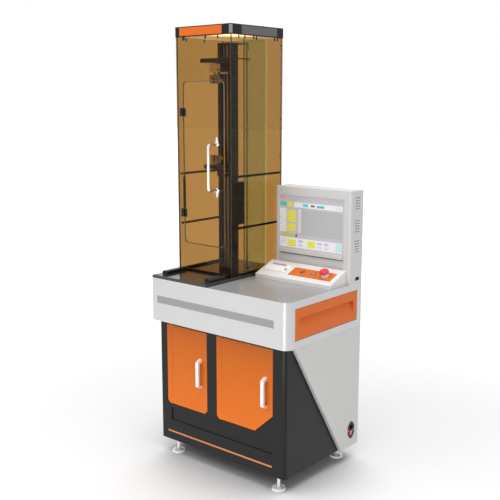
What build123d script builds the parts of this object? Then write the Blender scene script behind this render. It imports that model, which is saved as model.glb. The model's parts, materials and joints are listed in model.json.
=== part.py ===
from build123d import *
from math import atan2, cos, degrees, radians, sin, tan
import os

# Floor-standing universal testing machine: cabinet, deck, guarded single-column frame, console.
# Lengths are in millimetres. The origin is on the floor under the middle of the whole machine,
# +Z up, +X to the operator's right, and the machine faces -Y. Places are given as distances from
# the deck's front left corner: x_at() counts to the right, y_at() counts towards the back.

# Overall sizes
WIDTH = 726
DEPTH = 492
DECK_TOP = 760
DECK_HEIGHT = 184
DECK_BOTTOM = DECK_TOP - DECK_HEIGHT
FOOT_HEIGHT = 60
SHEET = 3
FIT = 0.05
SEAT = 0.3

# Cabinet under the deck
CABINET_LEFT = 45
CABINET_FRONT = 3
FRONT_FRAME_DEEP = 20
SIDE_PANEL_THICK = 15
CABINET_RIGHT = WIDTH - SIDE_PANEL_THICK
CABINET_CORNER = 16
RECESS_TO_RIGHT = 74
RECESS_LEFT, RECESS_RIGHT = 100, WIDTH - RECESS_TO_RIGHT
RECESS_BOTTOM, RECESS_TOP = 150, 204
RECESS_DEEP = 4
STRIP_TO_RIGHT = 76
STRIP_LEFT, STRIP_RIGHT = 79, WIDTH - STRIP_TO_RIGHT
STRIP_BOTTOM, STRIP_HIGH = 95, 7
STRIP_DEEP, STRIP_PROUD = 2, 0.8

# Cabinet doors, both hinged on their left
DOOR_THICK = 18
DOOR_SKIN = 2
PIVOT_BOSS = 14
DOOR_PROUD = 1
DOOR_GAP = 2
DOOR_EDGE = 2.5
DOOR_LEFTS = (80, 362)
DOOR_LEFTOVER = 436
DOOR_WIDTHS = (229, WIDTH - DOOR_LEFTOVER)
DOOR_BOTTOM = 224
DOOR_TOP = 571
DOOR_CUTS = ((14, 14), (88, 80))
DOOR_SMALL_CUT = 12
FOLD_FROM_HINGE = 30
FOLD_WIDE, FOLD_DEEP = 1.6, 0.8
PIVOT_INSET = 5
PIVOT_RADIUS = 2.5
PIVOT_REACH = 12
PULL_WIDE = 16
PULL_HIGH = 127
PULL_HEIGHT = 24
PULL_BAR = 11
PULL_LEG = 13
PULL_FROM_EDGE = 35
PULL_MIDDLE = 392.5

# Right hand side: sloped grey panel, drawer, sockets
PANEL_TOP_FRONT = 44
PANEL_FOOT_DEEP = 124
PANEL_FOOT_FRONT = DEPTH - PANEL_FOOT_DEEP
INLET_TO_BACK = 54
INLET_MIDDLE = DEPTH - INLET_TO_BACK
INLET_BOTTOM = 97
INLET_WIDE = 46
INLET_HIGH = 72
INLET_FLANGE = 2
INLET_BODY_WIDE = 30
INLET_BODY_HIGH = 54
INLET_DEEP = 30
ROCKER_WIDE = 20
ROCKER_HIGH = 24
ROCKER_TILT = 9
ROCKER_PROUD = 1.6
ROCKER_LOBE = 3.5
ROCKER_HALF = 11
DRAWER_TO_BACK = 31
DRAWER_FRONT_Y, DRAWER_BACK_Y = 44, DEPTH - DRAWER_TO_BACK
DRAWER_BOTTOM, DRAWER_TOP = 609, 731
DRAWER_FACE_THICK = 20
DRAWER_GAP = 1.5
DRAWER_DEEP = 262
DRAWER_BOX_HIGH = 84
DRAWER_WALL = 2
GRIP_TO_BACK = 56
GRIP_FRONT_Y, GRIP_BACK_Y = 69, DEPTH - GRIP_TO_BACK
GRIP_BOTTOM, GRIP_TOP = 640, 693
GRIP_DEEP = 16
RUNNER_WIDE = 12

# Deck
DECK_CORNER = 40
DECK_LEFT_CORNER = 8
RIM = 3
WORKTOP_THICK = 4
STRIPE_TO_RIGHT = 68
STRIPE_LEFT, STRIPE_RIGHT = 27, WIDTH - STRIPE_TO_RIGHT
STRIPE_BOTTOM, STRIPE_TOP = 655, 686
STRIPE_DEEP = 1
PLATE_RIGHT = 311
PLATE_THICK = 12
PLATE_BEVEL = 3
PLATE_TOP = DECK_TOP + PLATE_THICK
RAIL_LEFTS = (20, 265)
RAIL_WIDE = 26
RAIL_HIGH = 14
RAIL_FRONT = 40

# Guard around the test space
GUARD_LEFT, GUARD_RIGHT = 3, 307
GUARD_DEEP = 332
GUARD_FRONT = DEPTH - GUARD_DEEP
GUARD_BACK = DEPTH - 3
GUARD_TOP = 1753
ACRYLIC = 5
SILL_HIGH = 8
SILL_WIDE = 12
BRACE_ZS = (974, 1188)
BRACE_HIGH = 9
BRACE_DEEP = 6
BRACE_IN_FRONT, BRACE_IN_BACK = 14, 8
BRACE_FRONT, BRACE_BACK = GUARD_FRONT + BRACE_IN_FRONT, DEPTH - BRACE_IN_BACK
REAR_GUARD_X = 216
REAR_GUARD_GAP = 3
HATCH_LEFT, HATCH_RIGHT = 37, 268
HATCH_BELOW_TOP = 178
HATCH_BOTTOM, HATCH_TOP = 893, GUARD_TOP - HATCH_BELOW_TOP
HATCH_CORNER = 22
HATCH_GAP = 1.5
HINGE_OVER, HINGE_UNDER = 130, 128
HINGE_ZS = (HATCH_BOTTOM + HINGE_OVER, HATCH_TOP - HINGE_UNDER)
HINGE_HIGH = 34
HINGE_RADIUS = 4
HINGE_PIN = 1.8
HINGE_LEAF = 2
HINGE_X = 37
HINGE_LEAF_WIDE = 17
KNUCKLE_GAP = 0.3
EDGE_TRIM_GAP = 6
EDGE_TRIM_SHARE = 0.3585
EDGE_TRIM_BOTTOM = HINGE_ZS[0] + HINGE_HIGH / 2 + EDGE_TRIM_GAP
EDGE_TRIM_TOP = HINGE_ZS[0] + EDGE_TRIM_SHARE * (HINGE_ZS[1] - HINGE_ZS[0])
D_HANDLE_X = 232
D_HANDLE_LONG = 188
D_HANDLE_BELOW = 102
D_HANDLE_BOTTOM = (HATCH_BOTTOM + HATCH_TOP) / 2 - D_HANDLE_BELOW
D_HANDLE_TOP = D_HANDLE_BOTTOM + D_HANDLE_LONG
D_HANDLE_STANDOFF = 55
D_HANDLE_RADIUS = 5.5
TEAR_LONG = 34
TEAR_WIDE = 17
TEAR_THICK = 4

# Cap over the guard
CAP_HEIGHT = 41
CAP_LEFT, CAP_RIGHT = 0, 310
CAP_OVERHANG = 3
CAP_FRONT = GUARD_FRONT - CAP_OVERHANG
CAP_WALL = 10
CAP_LID = 4
CAP_CORNER = 3
INSERT_LEFT, INSERT_RIGHT = 25, 261
INSERT_IN_FRONT, INSERT_TO_BACK = 63, 44
INSERT_FRONT, INSERT_BACK = GUARD_FRONT + INSERT_IN_FRONT, DEPTH - INSERT_TO_BACK
INSERT_MARGIN = 4
INSERT_DEEP = 2
CLIP_WIDE = 9
CLIP_THICK = 1
LIGHT_THICK = 6
STUD_RADIUS = 2.5
STUD_HIGH = 14

# Loading column, its screw drive and the test axis
COLUMN_LEFT, COLUMN_RIGHT = 117, 189
COLUMN_TO_BACK, COLUMN_DEEP = 200, 45
COLUMN_FRONT = DEPTH - COLUMN_TO_BACK
COLUMN_BACK = COLUMN_FRONT + COLUMN_DEEP
COLUMN_BELOW_GUARD = 29
COLUMN_TOP = GUARD_TOP - COLUMN_BELOW_GUARD
COLUMN_WALL = 5
COLUMN_SLOT = 44
GROOVE_WIDE, GROOVE_DEEP = 6, 2
HEAD_THICK = 8
FOOT_BLOCK = 26
SCREW_RADIUS = 7
SCREW_STUB = 5
ROD_RADIUS = 4
ROD_SPACING = 40
COUPLING_RADIUS = 15
COUPLING_LONG = 34
PEDESTAL_WIDE = 120
PEDESTAL_HIGH = 63
POCKET_RADIUS = 22
MOTOR_WIDE = 80
MOTOR_LONG = 96
TEST_AXIS_AHEAD = 57
TEST_AXIS_Y = COLUMN_FRONT - TEST_AXIS_AHEAD
ARM_LEFT, ARM_RIGHT = 100, 206
ARM_THICK = 16
ARM_BELOW_TOP, ARM_DROP = 75, 437
UPPER_ARM_REACH, LOWER_ARM_REACH = 97, 80
UPPER_ARM_BOTTOM, UPPER_ARM_FRONT = COLUMN_TOP - ARM_BELOW_TOP, COLUMN_FRONT - UPPER_ARM_REACH
LOWER_ARM_BOTTOM, LOWER_ARM_FRONT = UPPER_ARM_BOTTOM - ARM_DROP, COLUMN_FRONT - LOWER_ARM_REACH
GUSSET_HIGH = 36
GUSSET_THICK = 8
CARRIAGE_HIGH = 60
CARRIAGE_GAP = 0.4
CELL_WIDE, CELL_HIGH, CELL_THICK = 44, 34, 16
CELL_SLOT = 3
GRIP_WIDE, GRIP_HIGH, GRIP_THICK = 36, 34, 24
JAW_GAP, JAW_DEEP = 10, 24
KNOB_RADIUS = 8
LIMIT_BEHIND, LIMIT_OVER = 43, 11
LIMIT_X, LIMIT_Y = 200, COLUMN_BACK + LIMIT_BEHIND
LIMIT_RADIUS = 4
LIMIT_TOP = COLUMN_TOP + LIMIT_OVER
TRAVEL_UP, TRAVEL_DOWN = 35, 285
COLLAR_RADIUS, COLLAR_HIGH = 9, 10
FINGER_THICK = 4
FINGER_WIDE = 14
BOX_BOTTOM, BOX_TOP = 969, 1152
BOX_THICK = 18
BOX_BEHIND = 18
BOX_BACK = COLUMN_BACK + BOX_BEHIND

# Operator console
CONSOLE_LEFT = 349
CONSOLE_DEEP = 86
CONSOLE_FRONT = DEPTH - CONSOLE_DEEP
CONSOLE_TOP = 1142
CONSOLE_WALL = 3
CONSOLE_CORNER = 12
FIELD_LEFT, FIELD_RIGHT = 361, 691
FIELD_TOP, FIELD_DEEP = 1105, 10
SCREEN_BOTTOM = 854
SCREEN_THICK = 5
VENT_ZS = (914.5, 997.5, 1090)
VENT_PITCH, VENT_ROWS = 11, 5
VENTS_TO_BACK = (49, 32)
VENT_YS = (DEPTH - VENTS_TO_BACK[0], DEPTH - VENTS_TO_BACK[1])
VENT_LONG, VENT_HIGH = 13, 3.4
USB_TO_BACK = 33
USB_Y, USB_Z = DEPTH - USB_TO_BACK, 780
USB_WIDE, USB_HIGH, USB_DEEP = 28, 14, 12
TABLET_LEFT, TABLET_RIGHT = 324, 708
TABLET_DEEP = 113
TABLET_FRONT = CONSOLE_FRONT - TABLET_DEEP
TABLET_LIP = 15
TABLET_RISE = 43
KEYPAD_LEFT, KEYPAD_RIGHT = 476, 686
KEYPAD_NEAR, KEYPAD_FAR = 29, 87
KEYPAD_THICK = 2
BUTTON_XS = (531, 586)
BUTTON_UP = 60
BUTTON_RADIUS = 8
BUTTON_HIGH = 5
BUTTON_TRAVEL = 2
ESTOP_X, ESTOP_UP = 645, 58
COLLAR_STOP_RADIUS = 15
COLLAR_STOP_HIGH = 12
MUSHROOM_RADIUS = 20
MUSHROOM_HIGH = 11
STEM_RADIUS = 9
STOP_TRAVEL = 4
PRINTER_LEFT, PRINTER_RIGHT = 341, 459
PRINTER_NEAR, PRINTER_FAR = 36, 90
PRINTER_PROUD = 5
PRINTER_BAY_DEEP = 22
LID_LEFT, LID_RIGHT = 352, 437
LID_NEAR, LID_FAR = 43, 78
LID_THICK = 3
LID_GAP = 0.6
PAPER_SLOT = 4
BAY_WALL = 2
CONTROLLER_GAP, CONTROLLER_WIDE = 31, 140
CONTROLLER_RIGHT = CABINET_RIGHT - CONTROLLER_GAP
CONTROLLER_LEFT = CONTROLLER_RIGHT - CONTROLLER_WIDE
CONTROLLER_TO_BACK, CONTROLLER_DEEP = 12, 180
CONTROLLER_BACK = DEPTH - CONTROLLER_TO_BACK
CONTROLLER_FRONT = CONTROLLER_BACK - CONTROLLER_DEEP
CONTROLLER_HIGH = 220

# Levelling feet
FOOT_IN_LEFT, FOOT_IN_RIGHT, FOOT_IN_BACK = 63, 66, 62
FOOT_XS = (CABINET_LEFT + FOOT_IN_LEFT, WIDTH - FOOT_IN_RIGHT)
FOOT_YS = (34, DEPTH - FOOT_IN_BACK)
PAD_RADIUS, PAD_HIGH = 27, 14
LEVEL_RADIUS = 6
NUT_ACROSS, NUT_HIGH = 22, 9

# The front-most point is the cabinet pulls, the right-most the switch, so both set the origin
PULL_REACH = PULL_HEIGHT + DOOR_PROUD - CABINET_FRONT
SWITCH_REACH = INLET_FLANGE + ROCKER_PROUD
FRONT = -(DEPTH + PULL_REACH) / 2 + PULL_REACH
LEFT = -(WIDTH + SWITCH_REACH) / 2
CAP_TOP = GUARD_TOP + CAP_HEIGHT
TEST_AXIS_X = (COLUMN_LEFT + COLUMN_RIGHT) / 2
SCREW_Y = (COLUMN_FRONT + COLUMN_BACK) / 2
DOOR_FACE = CABINET_FRONT - DOOR_PROUD
TABLET_SLOPE = degrees(atan2(TABLET_RISE, CONSOLE_FRONT - TABLET_FRONT))


# Proportions of small features, each a share of the size it is multiplied with, and counts
RAIL_NECK_AT = 0.8
COUPLING_WAIST = 0.8
JAW_LIP = 0.6
HANDLE_BEND = 2.2
MUSHROOM_CROWN = 0.6
ROCKER_AT = 0.28
ROCKER_DIP = 0.6
INLET_SHOULDER = 0.45
KNURLS = 10
COOLING_SLOTS = 8
CAST_DRAFT = 4
COOLING_PITCHES = 10

# Mains socket: gap round the plug and the three flat pins
SOCKET_MARGIN = 3
PIN_PITCH = 7
PIN_WIDE = 2
PIN_HIGH = 4

# Where the two grips are hung
UPPER_GRIP_ROOT = UPPER_ARM_BOTTOM - CELL_HIGH - GRIP_WIDE / 4
LOWER_GRIP_ROOT = LOWER_ARM_BOTTOM + ARM_THICK


def x_at(distance):
    """X of a place given to the right of the deck's left side."""
    return LEFT + distance


def y_at(distance):
    """Y of a place given behind the deck's front."""
    return FRONT + distance


def facing_front(depth):
    """Plane that looks to the front: first axis +X, second axis +Z, normal -Y."""
    return Plane(origin=(LEFT, y_at(depth), 0), x_dir=(1, 0, 0), z_dir=(0, -1, 0))


def facing_right(distance):
    """Plane that looks to the right: first axis +Y, second axis +Z, normal +X."""
    return Plane(origin=(x_at(distance), FRONT, 0), x_dir=(0, 1, 0), z_dir=(1, 0, 0))


def seen_from_above(height):
    """Level plane whose first axis is +X and second axis is +Y, from the deck's front left."""
    return Plane(origin=(LEFT, FRONT, height), x_dir=(1, 0, 0), z_dir=(0, 0, 1))


def on_tablet(raised):
    """Plane on the sloped console desk; the second axis runs up the slope."""
    slope = radians(TABLET_SLOPE)
    normal = (0, -sin(slope), cos(slope))
    foot = (LEFT, y_at(TABLET_FRONT), DECK_TOP + TABLET_LIP)
    return Plane(origin=foot, x_dir=(1, 0, 0), z_dir=normal).offset(raised)


def span(first, second, mode=Mode.ADD):
    """Rectangle in the open sketch between two opposite corners."""
    middle = ((first[0] + second[0]) / 2, (first[1] + second[1]) / 2)
    with Locations(middle):
        return Rectangle(abs(second[0] - first[0]), abs(second[1] - first[1]), mode=mode)


def save(builder, name):
    """Label a finished piece and write it as its own file."""
    builder.part.label = name
    export_step(builder.part, f"parts/{name}.step")


def cabinet_shell():
    """Folded body of the cabinet: two sides, floor and back, open to the front frame."""
    back, front = DEPTH, CABINET_FRONT + FRONT_FRAME_DEEP
    with BuildPart() as shell:
        with BuildSketch(seen_from_above(FOOT_HEIGHT)):
            span((CABINET_LEFT, front), (CABINET_RIGHT, back))
        extrude(amount=DECK_BOTTOM - FOOT_HEIGHT)
        with BuildSketch(seen_from_above(FOOT_HEIGHT + SHEET)):
            span((CABINET_LEFT + SHEET, front), (CABINET_RIGHT - SHEET, back - SHEET))
        extrude(amount=DECK_BOTTOM - FOOT_HEIGHT, mode=Mode.SUBTRACT)
        with BuildSketch(facing_right(CABINET_RIGHT)):
            inlet_body_outline(SEAT)
        extrude(amount=-SHEET, mode=Mode.SUBTRACT)
    save(shell, "cabinet_shell")


def front_frame():
    """Front of the cabinet with two door openings, a sunk field and the groove of the strip."""
    with BuildPart() as frame:
        with BuildSketch(seen_from_above(FOOT_HEIGHT)):
            span((CABINET_LEFT, CABINET_FRONT), (CABINET_RIGHT, CABINET_FRONT + FRONT_FRAME_DEEP))
        extrude(amount=DECK_BOTTOM - FOOT_HEIGHT)
        outer = frame.edges().filter_by(Axis.Z).group_by(Axis.Y)[0].sort_by(Axis.X)
        fillet(outer[-1], radius=CABINET_CORNER)
        with BuildSketch(facing_front(CABINET_FRONT)):
            span((RECESS_LEFT, RECESS_BOTTOM), (RECESS_RIGHT, RECESS_TOP))
        extrude(amount=-RECESS_DEEP, mode=Mode.SUBTRACT)
        with BuildSketch(facing_front(CABINET_FRONT)):
            span((STRIP_LEFT, STRIP_BOTTOM), (STRIP_RIGHT, STRIP_BOTTOM + STRIP_HIGH))
        extrude(amount=-STRIP_DEEP, mode=Mode.SUBTRACT)
        with BuildSketch(facing_front(CABINET_FRONT)):
            for side in range(len(DOOR_LEFTS)):
                door_outline(side, DOOR_GAP)
        extrude(amount=-FRONT_FRAME_DEEP, mode=Mode.SUBTRACT)
        for side in range(len(DOOR_LEFTS)):
            with BuildSketch(seen_from_above(DOOR_BOTTOM - PIVOT_REACH)):
                with Locations(pivot_place(side)):
                    Circle(PIVOT_RADIUS + FIT)
            extrude(amount=DECK_BOTTOM - DOOR_BOTTOM + PIVOT_REACH, mode=Mode.SUBTRACT)
    save(frame, "front_frame")


def door_outline(side, grown):
    """Outline of one cabinet door, grown by a gap, with its cut bottom corners."""
    left = DOOR_LEFTS[side] - grown
    right = DOOR_LEFTS[side] + DOOR_WIDTHS[side] + grown
    bottom, top = DOOR_BOTTOM - grown, DOOR_TOP + grown
    cut_x, cut_z = DOOR_CUTS[side]
    Polygon(
        (left, top), (left, bottom + DOOR_SMALL_CUT), (left + DOOR_SMALL_CUT, bottom),
        (right - cut_x, bottom), (right, bottom + cut_z), (right, top), align=None,
    )


def pivot_place(side):
    """Where one cabinet door turns, seen from above."""
    return (DOOR_LEFTS[side] + DOOR_SMALL_CUT + PIVOT_INSET, DOOR_FACE + PIVOT_INSET)


def accent_strip():
    """Coloured strip in the groove of the cabinet front."""
    with BuildPart() as strip:
        with BuildSketch(facing_front(CABINET_FRONT + STRIP_DEEP)):
            span((STRIP_LEFT, STRIP_BOTTOM), (STRIP_RIGHT, STRIP_BOTTOM + STRIP_HIGH))
        extrude(amount=STRIP_DEEP + STRIP_PROUD)
    save(strip, "accent_strip")


def inlet_body_outline(grown):
    """Outline of the part of the mains inlet that sits in the panel."""
    middle_z = INLET_BOTTOM + INLET_HIGH / 2
    with Locations((INLET_MIDDLE, middle_z)):
        Rectangle(INLET_BODY_WIDE + 2 * grown, INLET_BODY_HIGH + 2 * grown)


def cabinet_door(side, name):
    """One cabinet door: a pan open to the back, with a fold line and bored pivot bosses."""
    back = DOOR_FACE + DOOR_THICK
    with BuildPart() as door:
        with BuildSketch(facing_front(DOOR_FACE)):
            door_outline(side, 0)
        extrude(amount=-DOOR_THICK)
        face = door.faces().sort_by(Axis.Y)[0]
        fillet(face.edges(), radius=DOOR_EDGE)
        with BuildSketch(facing_front(back)):
            door_outline(side, -DOOR_SKIN)
            for boss_z in (DOOR_BOTTOM + PIVOT_BOSS / 2, DOOR_TOP - PIVOT_BOSS / 2):
                with Locations((pivot_place(side)[0], boss_z)):
                    Rectangle(PIVOT_BOSS, PIVOT_BOSS, mode=Mode.SUBTRACT)
        extrude(amount=DOOR_THICK - DOOR_EDGE, mode=Mode.SUBTRACT)
        fold = DOOR_LEFTS[side] + FOLD_FROM_HINGE
        with BuildSketch(facing_front(DOOR_FACE)):
            span((fold, DOOR_BOTTOM + FOLD_FROM_HINGE), (fold + FOLD_WIDE, DOOR_TOP - FOLD_FROM_HINGE))
        extrude(amount=-FOLD_DEEP, mode=Mode.SUBTRACT)
        for start, amount in ((DOOR_BOTTOM, PIVOT_REACH), (DOOR_TOP, -PIVOT_REACH)):
            with BuildSketch(seen_from_above(start)):
                with Locations(pivot_place(side)):
                    Circle(PIVOT_RADIUS + FIT)
            extrude(amount=amount, mode=Mode.SUBTRACT)
    save(door, name)


def cabinet_pivots():
    """Four pins on which the cabinet doors turn, seated in the front frame."""
    reach = PIVOT_REACH - DOOR_GAP
    with BuildPart() as pins:
        for side in range(len(DOOR_LEFTS)):
            with BuildSketch(seen_from_above(DOOR_BOTTOM - PIVOT_REACH)):
                with Locations(pivot_place(side)):
                    Circle(PIVOT_RADIUS)
            extrude(amount=PIVOT_REACH + reach)
            with BuildSketch(seen_from_above(DECK_BOTTOM)):
                with Locations(pivot_place(side)):
                    Circle(PIVOT_RADIUS)
            extrude(amount=-(DECK_BOTTOM - DOOR_TOP) - reach)
    save(pins, "cabinet_pivots")


def door_pull(side, name):
    """Arched bar pull with sloped ends, standing on a cabinet door."""
    right = DOOR_LEFTS[side] + DOOR_WIDTHS[side] - PULL_FROM_EDGE + PULL_WIDE / 2
    base, crown = DOOR_FACE, DOOR_FACE - PULL_HEIGHT
    low, high = PULL_MIDDLE - PULL_HIGH / 2, PULL_MIDDLE + PULL_HIGH / 2
    under = crown + PULL_BAR
    with BuildPart() as pull:
        with BuildSketch(facing_right(right)):
            Polygon(
                (base, low), (crown, low + PULL_LEG), (crown, high - PULL_LEG), (base, high),
                (base, high - PULL_LEG), (under, high - PULL_LEG - PULL_BAR / 2),
                (under, low + PULL_LEG + PULL_BAR / 2), (base, low + PULL_LEG), align=None,
            )
        extrude(amount=-PULL_WIDE)
        front_edges = pull.edges().filter_by(Axis.Z).group_by(Axis.Y)[0]
        fillet(front_edges, radius=PULL_BAR / 3)
    save(pull, name)


def side_panel():
    """Thick grey panel on the right side with the sloped front edge and the inlet's window."""
    with BuildPart() as panel:
        with BuildSketch(facing_right(WIDTH)):
            Polygon(
                (PANEL_TOP_FRONT, DECK_BOTTOM), (PANEL_FOOT_FRONT, FOOT_HEIGHT),
                (DEPTH, FOOT_HEIGHT), (DEPTH, DECK_BOTTOM), align=None,
            )
            with BuildSketch(mode=Mode.SUBTRACT):
                inlet_body_outline(SEAT)
        extrude(amount=-SIDE_PANEL_THICK)
        outline = panel.faces().sort_by(Axis.X)[-1].outer_wire().edges()
        fillet(outline, radius=SHEET / 2)
    save(panel, "side_panel")


def deck_outline(inset):
    """Plan of the deck with its large front right corner, drawn inside by an inset."""
    corners = span((inset, inset), (WIDTH - inset, DEPTH - inset)).vertices().group_by(Axis.Y)[0]
    fillet(corners.sort_by(Axis.X)[-1], radius=DECK_CORNER - inset)
    fillet(corners.sort_by(Axis.X)[0], radius=DECK_LEFT_CORNER - inset)


def deck_housing():
    """White box under the worktop: rounded corner, sunk stripe, drawer opening, sunk top."""
    with BuildPart() as housing:
        with BuildSketch(seen_from_above(DECK_BOTTOM)):
            deck_outline(0)
        extrude(amount=DECK_HEIGHT)
        fillet(housing.faces().sort_by(Axis.Z)[0].edges(), radius=SHEET / 2)
        with BuildSketch(seen_from_above(DECK_BOTTOM + SHEET)):
            deck_outline(SHEET)
        extrude(amount=DECK_HEIGHT - WORKTOP_THICK - 2 * SHEET, mode=Mode.SUBTRACT)
        with BuildSketch(seen_from_above(DECK_TOP)):
            deck_outline(RIM)
        extrude(amount=-WORKTOP_THICK, mode=Mode.SUBTRACT)
        with BuildSketch(facing_front(0)):
            span((STRIPE_LEFT, STRIPE_BOTTOM), (STRIPE_RIGHT, STRIPE_TOP))
        extrude(amount=-STRIPE_DEEP, mode=Mode.SUBTRACT)
        with BuildSketch(facing_right(WIDTH)):
            drawer_outline(DRAWER_GAP)
        extrude(amount=-SHEET, mode=Mode.SUBTRACT)
        drive_hole(DECK_TOP, DECK_HEIGHT / 2)
    save(housing, "deck_housing")


def drive_hole(top, deep):
    """Cut the hole of the screw drive from a level downwards in the open part."""
    with BuildSketch(seen_from_above(top)) as hole:
        with Locations((TEST_AXIS_X, SCREW_Y)):
            Circle(POCKET_RADIUS)
    extrude(hole.sketch, amount=-deep, mode=Mode.SUBTRACT)


def drawer_outline(grown):
    """Outline of the drawer's face on the right side."""
    span((DRAWER_FRONT_Y - grown, DRAWER_BOTTOM - grown), (DRAWER_BACK_Y + grown, DRAWER_TOP + grown))


def stripe_inlay():
    """Grey stripe let into the front of the deck."""
    with BuildPart() as stripe:
        with BuildSketch(facing_front(STRIPE_DEEP)):
            span((STRIPE_LEFT, STRIPE_BOTTOM), (STRIPE_RIGHT, STRIPE_TOP))
        extrude(amount=STRIPE_DEEP)
    save(stripe, "stripe_inlay")


def worktop():
    """Polished top let into the deck's rim, with the hole of the screw drive."""
    with BuildPart() as top:
        with BuildSketch(seen_from_above(DECK_TOP)):
            deck_outline(RIM)
        extrude(amount=-WORKTOP_THICK)
        drive_hole(DECK_TOP, WORKTOP_THICK)
    save(top, "worktop")


def base_plate():
    """Black plate under the test space with a bevelled upper edge and a bore for the screw."""
    with BuildPart() as plate:
        with BuildSketch(seen_from_above(DECK_TOP)):
            span((0, 0), (PLATE_RIGHT, DEPTH))
        extrude(amount=PLATE_THICK)
        chamfer(plate.faces().sort_by(Axis.Z)[-1].edges(), length=PLATE_BEVEL)
        drive_hole(PLATE_TOP, PLATE_THICK)
    save(plate, "base_plate")


def fixture_rails():
    """Two slotted rails on the base plate, in front of the guard."""
    long = GUARD_FRONT - RAIL_FRONT
    slot, neck = RAIL_WIDE / 2, RAIL_WIDE / 4
    with BuildPart() as rails:
        for left in RAIL_LEFTS:
            middle = left + RAIL_WIDE / 2
            with BuildSketch(facing_front(RAIL_FRONT)):
                with Locations((middle, PLATE_TOP + RAIL_HIGH / 2)):
                    RectangleRounded(RAIL_WIDE, RAIL_HIGH, RAIL_HIGH / 4)
                with Locations((middle, PLATE_TOP + RAIL_HIGH / 2)):
                    Rectangle(slot, RAIL_HIGH / 3, mode=Mode.SUBTRACT)
                with Locations((middle, PLATE_TOP + RAIL_HIGH * RAIL_NECK_AT)):
                    Rectangle(neck, RAIL_HIGH / 2, mode=Mode.SUBTRACT)
            extrude(amount=-long)
    save(rails, "fixture_rails")


def drive_pedestal():
    """Cast block under the deck top that carries column and motor, with the coupling's pocket."""
    top = DECK_TOP - WORKTOP_THICK - SHEET
    with BuildPart() as pedestal:
        with BuildSketch(seen_from_above(top)):
            with Locations((TEST_AXIS_X, SCREW_Y)):
                RectangleRounded(PEDESTAL_WIDE, PEDESTAL_WIDE, PEDESTAL_WIDE / 12)
        extrude(amount=-PEDESTAL_HIGH, taper=CAST_DRAFT)
        drive_hole(top, PEDESTAL_HIGH)
        with BuildSketch(facing_front(SCREW_Y - PEDESTAL_WIDE / 2)):
            with Locations((TEST_AXIS_X, top - PEDESTAL_HIGH / 2)):
                SlotOverall(PEDESTAL_WIDE / 2, PEDESTAL_HIGH / 3)
        extrude(amount=-PEDESTAL_WIDE / 2, mode=Mode.SUBTRACT)
    save(pedestal, "drive_pedestal")


def drive_motor():
    """Square servo motor hung under the pedestal, with its flange, end bell and plug box."""
    top = DECK_TOP - WORKTOP_THICK - SHEET - PEDESTAL_HIGH
    flange = MOTOR_WIDE / 8
    place = (TEST_AXIS_X, SCREW_Y)
    with BuildPart() as motor:
        with BuildSketch(seen_from_above(top)):
            with Locations(place):
                RectangleRounded(MOTOR_WIDE, MOTOR_WIDE, flange)
        extrude(amount=-flange)
        with BuildSketch(seen_from_above(top - flange)):
            with Locations(place):
                RectangleRounded(MOTOR_WIDE - flange, MOTOR_WIDE - flange, flange)
        extrude(amount=flange - MOTOR_LONG)
        with BuildSketch(seen_from_above(top)):
            with Locations(place):
                Circle(SCREW_STUB + SEAT)
        extrude(amount=-MOTOR_WIDE / 4, mode=Mode.SUBTRACT)
        back = (TEST_AXIS_X, SCREW_Y + MOTOR_WIDE / 2)
        with BuildSketch(seen_from_above(top - MOTOR_LONG + flange)):
            with Locations(back):
                RectangleRounded(MOTOR_WIDE / 3, MOTOR_WIDE / 4, 2)
        extrude(amount=MOTOR_LONG / 3)
    save(motor, "drive_motor")


def column_outline():
    """Plan of the column: a deep channel open to the front, with grooves in both sides."""
    span((COLUMN_LEFT, COLUMN_FRONT), (COLUMN_RIGHT, COLUMN_BACK))
    span((COLUMN_LEFT + COLUMN_WALL, COLUMN_FRONT + COLUMN_WALL),
         (COLUMN_RIGHT - COLUMN_WALL, COLUMN_BACK - COLUMN_WALL), mode=Mode.SUBTRACT)
    span((TEST_AXIS_X - COLUMN_SLOT / 2, COLUMN_FRONT),
         (TEST_AXIS_X + COLUMN_SLOT / 2, COLUMN_FRONT + COLUMN_WALL), mode=Mode.SUBTRACT)
    third = (COLUMN_BACK - COLUMN_FRONT) / 3
    for side in (COLUMN_LEFT + GROOVE_DEEP / 2, COLUMN_RIGHT - GROOVE_DEEP / 2):
        with Locations((side, COLUMN_FRONT + third), (side, COLUMN_BACK - third)):
            Rectangle(GROOVE_DEEP, GROOVE_WIDE, mode=Mode.SUBTRACT)


def column():
    """Upright channel of the frame, standing on the base plate."""
    with BuildPart() as upright:
        with BuildSketch(seen_from_above(PLATE_TOP)):
            column_outline()
        extrude(amount=COLUMN_TOP - PLATE_TOP)
    save(upright, "column")


def screw_bearings():
    """Foot block inside the column's lower end and head plate on its top, bored for the screw."""
    inner_wide = COLUMN_RIGHT - COLUMN_LEFT - 2 * COLUMN_WALL - 2 * CARRIAGE_GAP
    inner_deep = COLUMN_BACK - COLUMN_FRONT - 2 * COLUMN_WALL - 2 * CARRIAGE_GAP
    with BuildPart() as bearings:
        with BuildSketch(seen_from_above(PLATE_TOP)):
            with Locations((TEST_AXIS_X, SCREW_Y)):
                Rectangle(inner_wide, inner_deep)
                Circle(SCREW_STUB + FIT, mode=Mode.SUBTRACT)
                rod_pattern(0)
        extrude(amount=FOOT_BLOCK)
        with BuildSketch(seen_from_above(COLUMN_TOP)):
            span((COLUMN_LEFT, COLUMN_FRONT), (COLUMN_RIGHT, COLUMN_BACK))
            with Locations((TEST_AXIS_X, SCREW_Y)):
                Circle(SCREW_STUB + FIT, mode=Mode.SUBTRACT)
        extrude(amount=HEAD_THICK)
        head = bearings.faces().sort_by(Axis.Z)[-1].outer_wire().edges()
        fillet(head, radius=GROOVE_DEEP)
    save(bearings, "screw_bearings")


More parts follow.
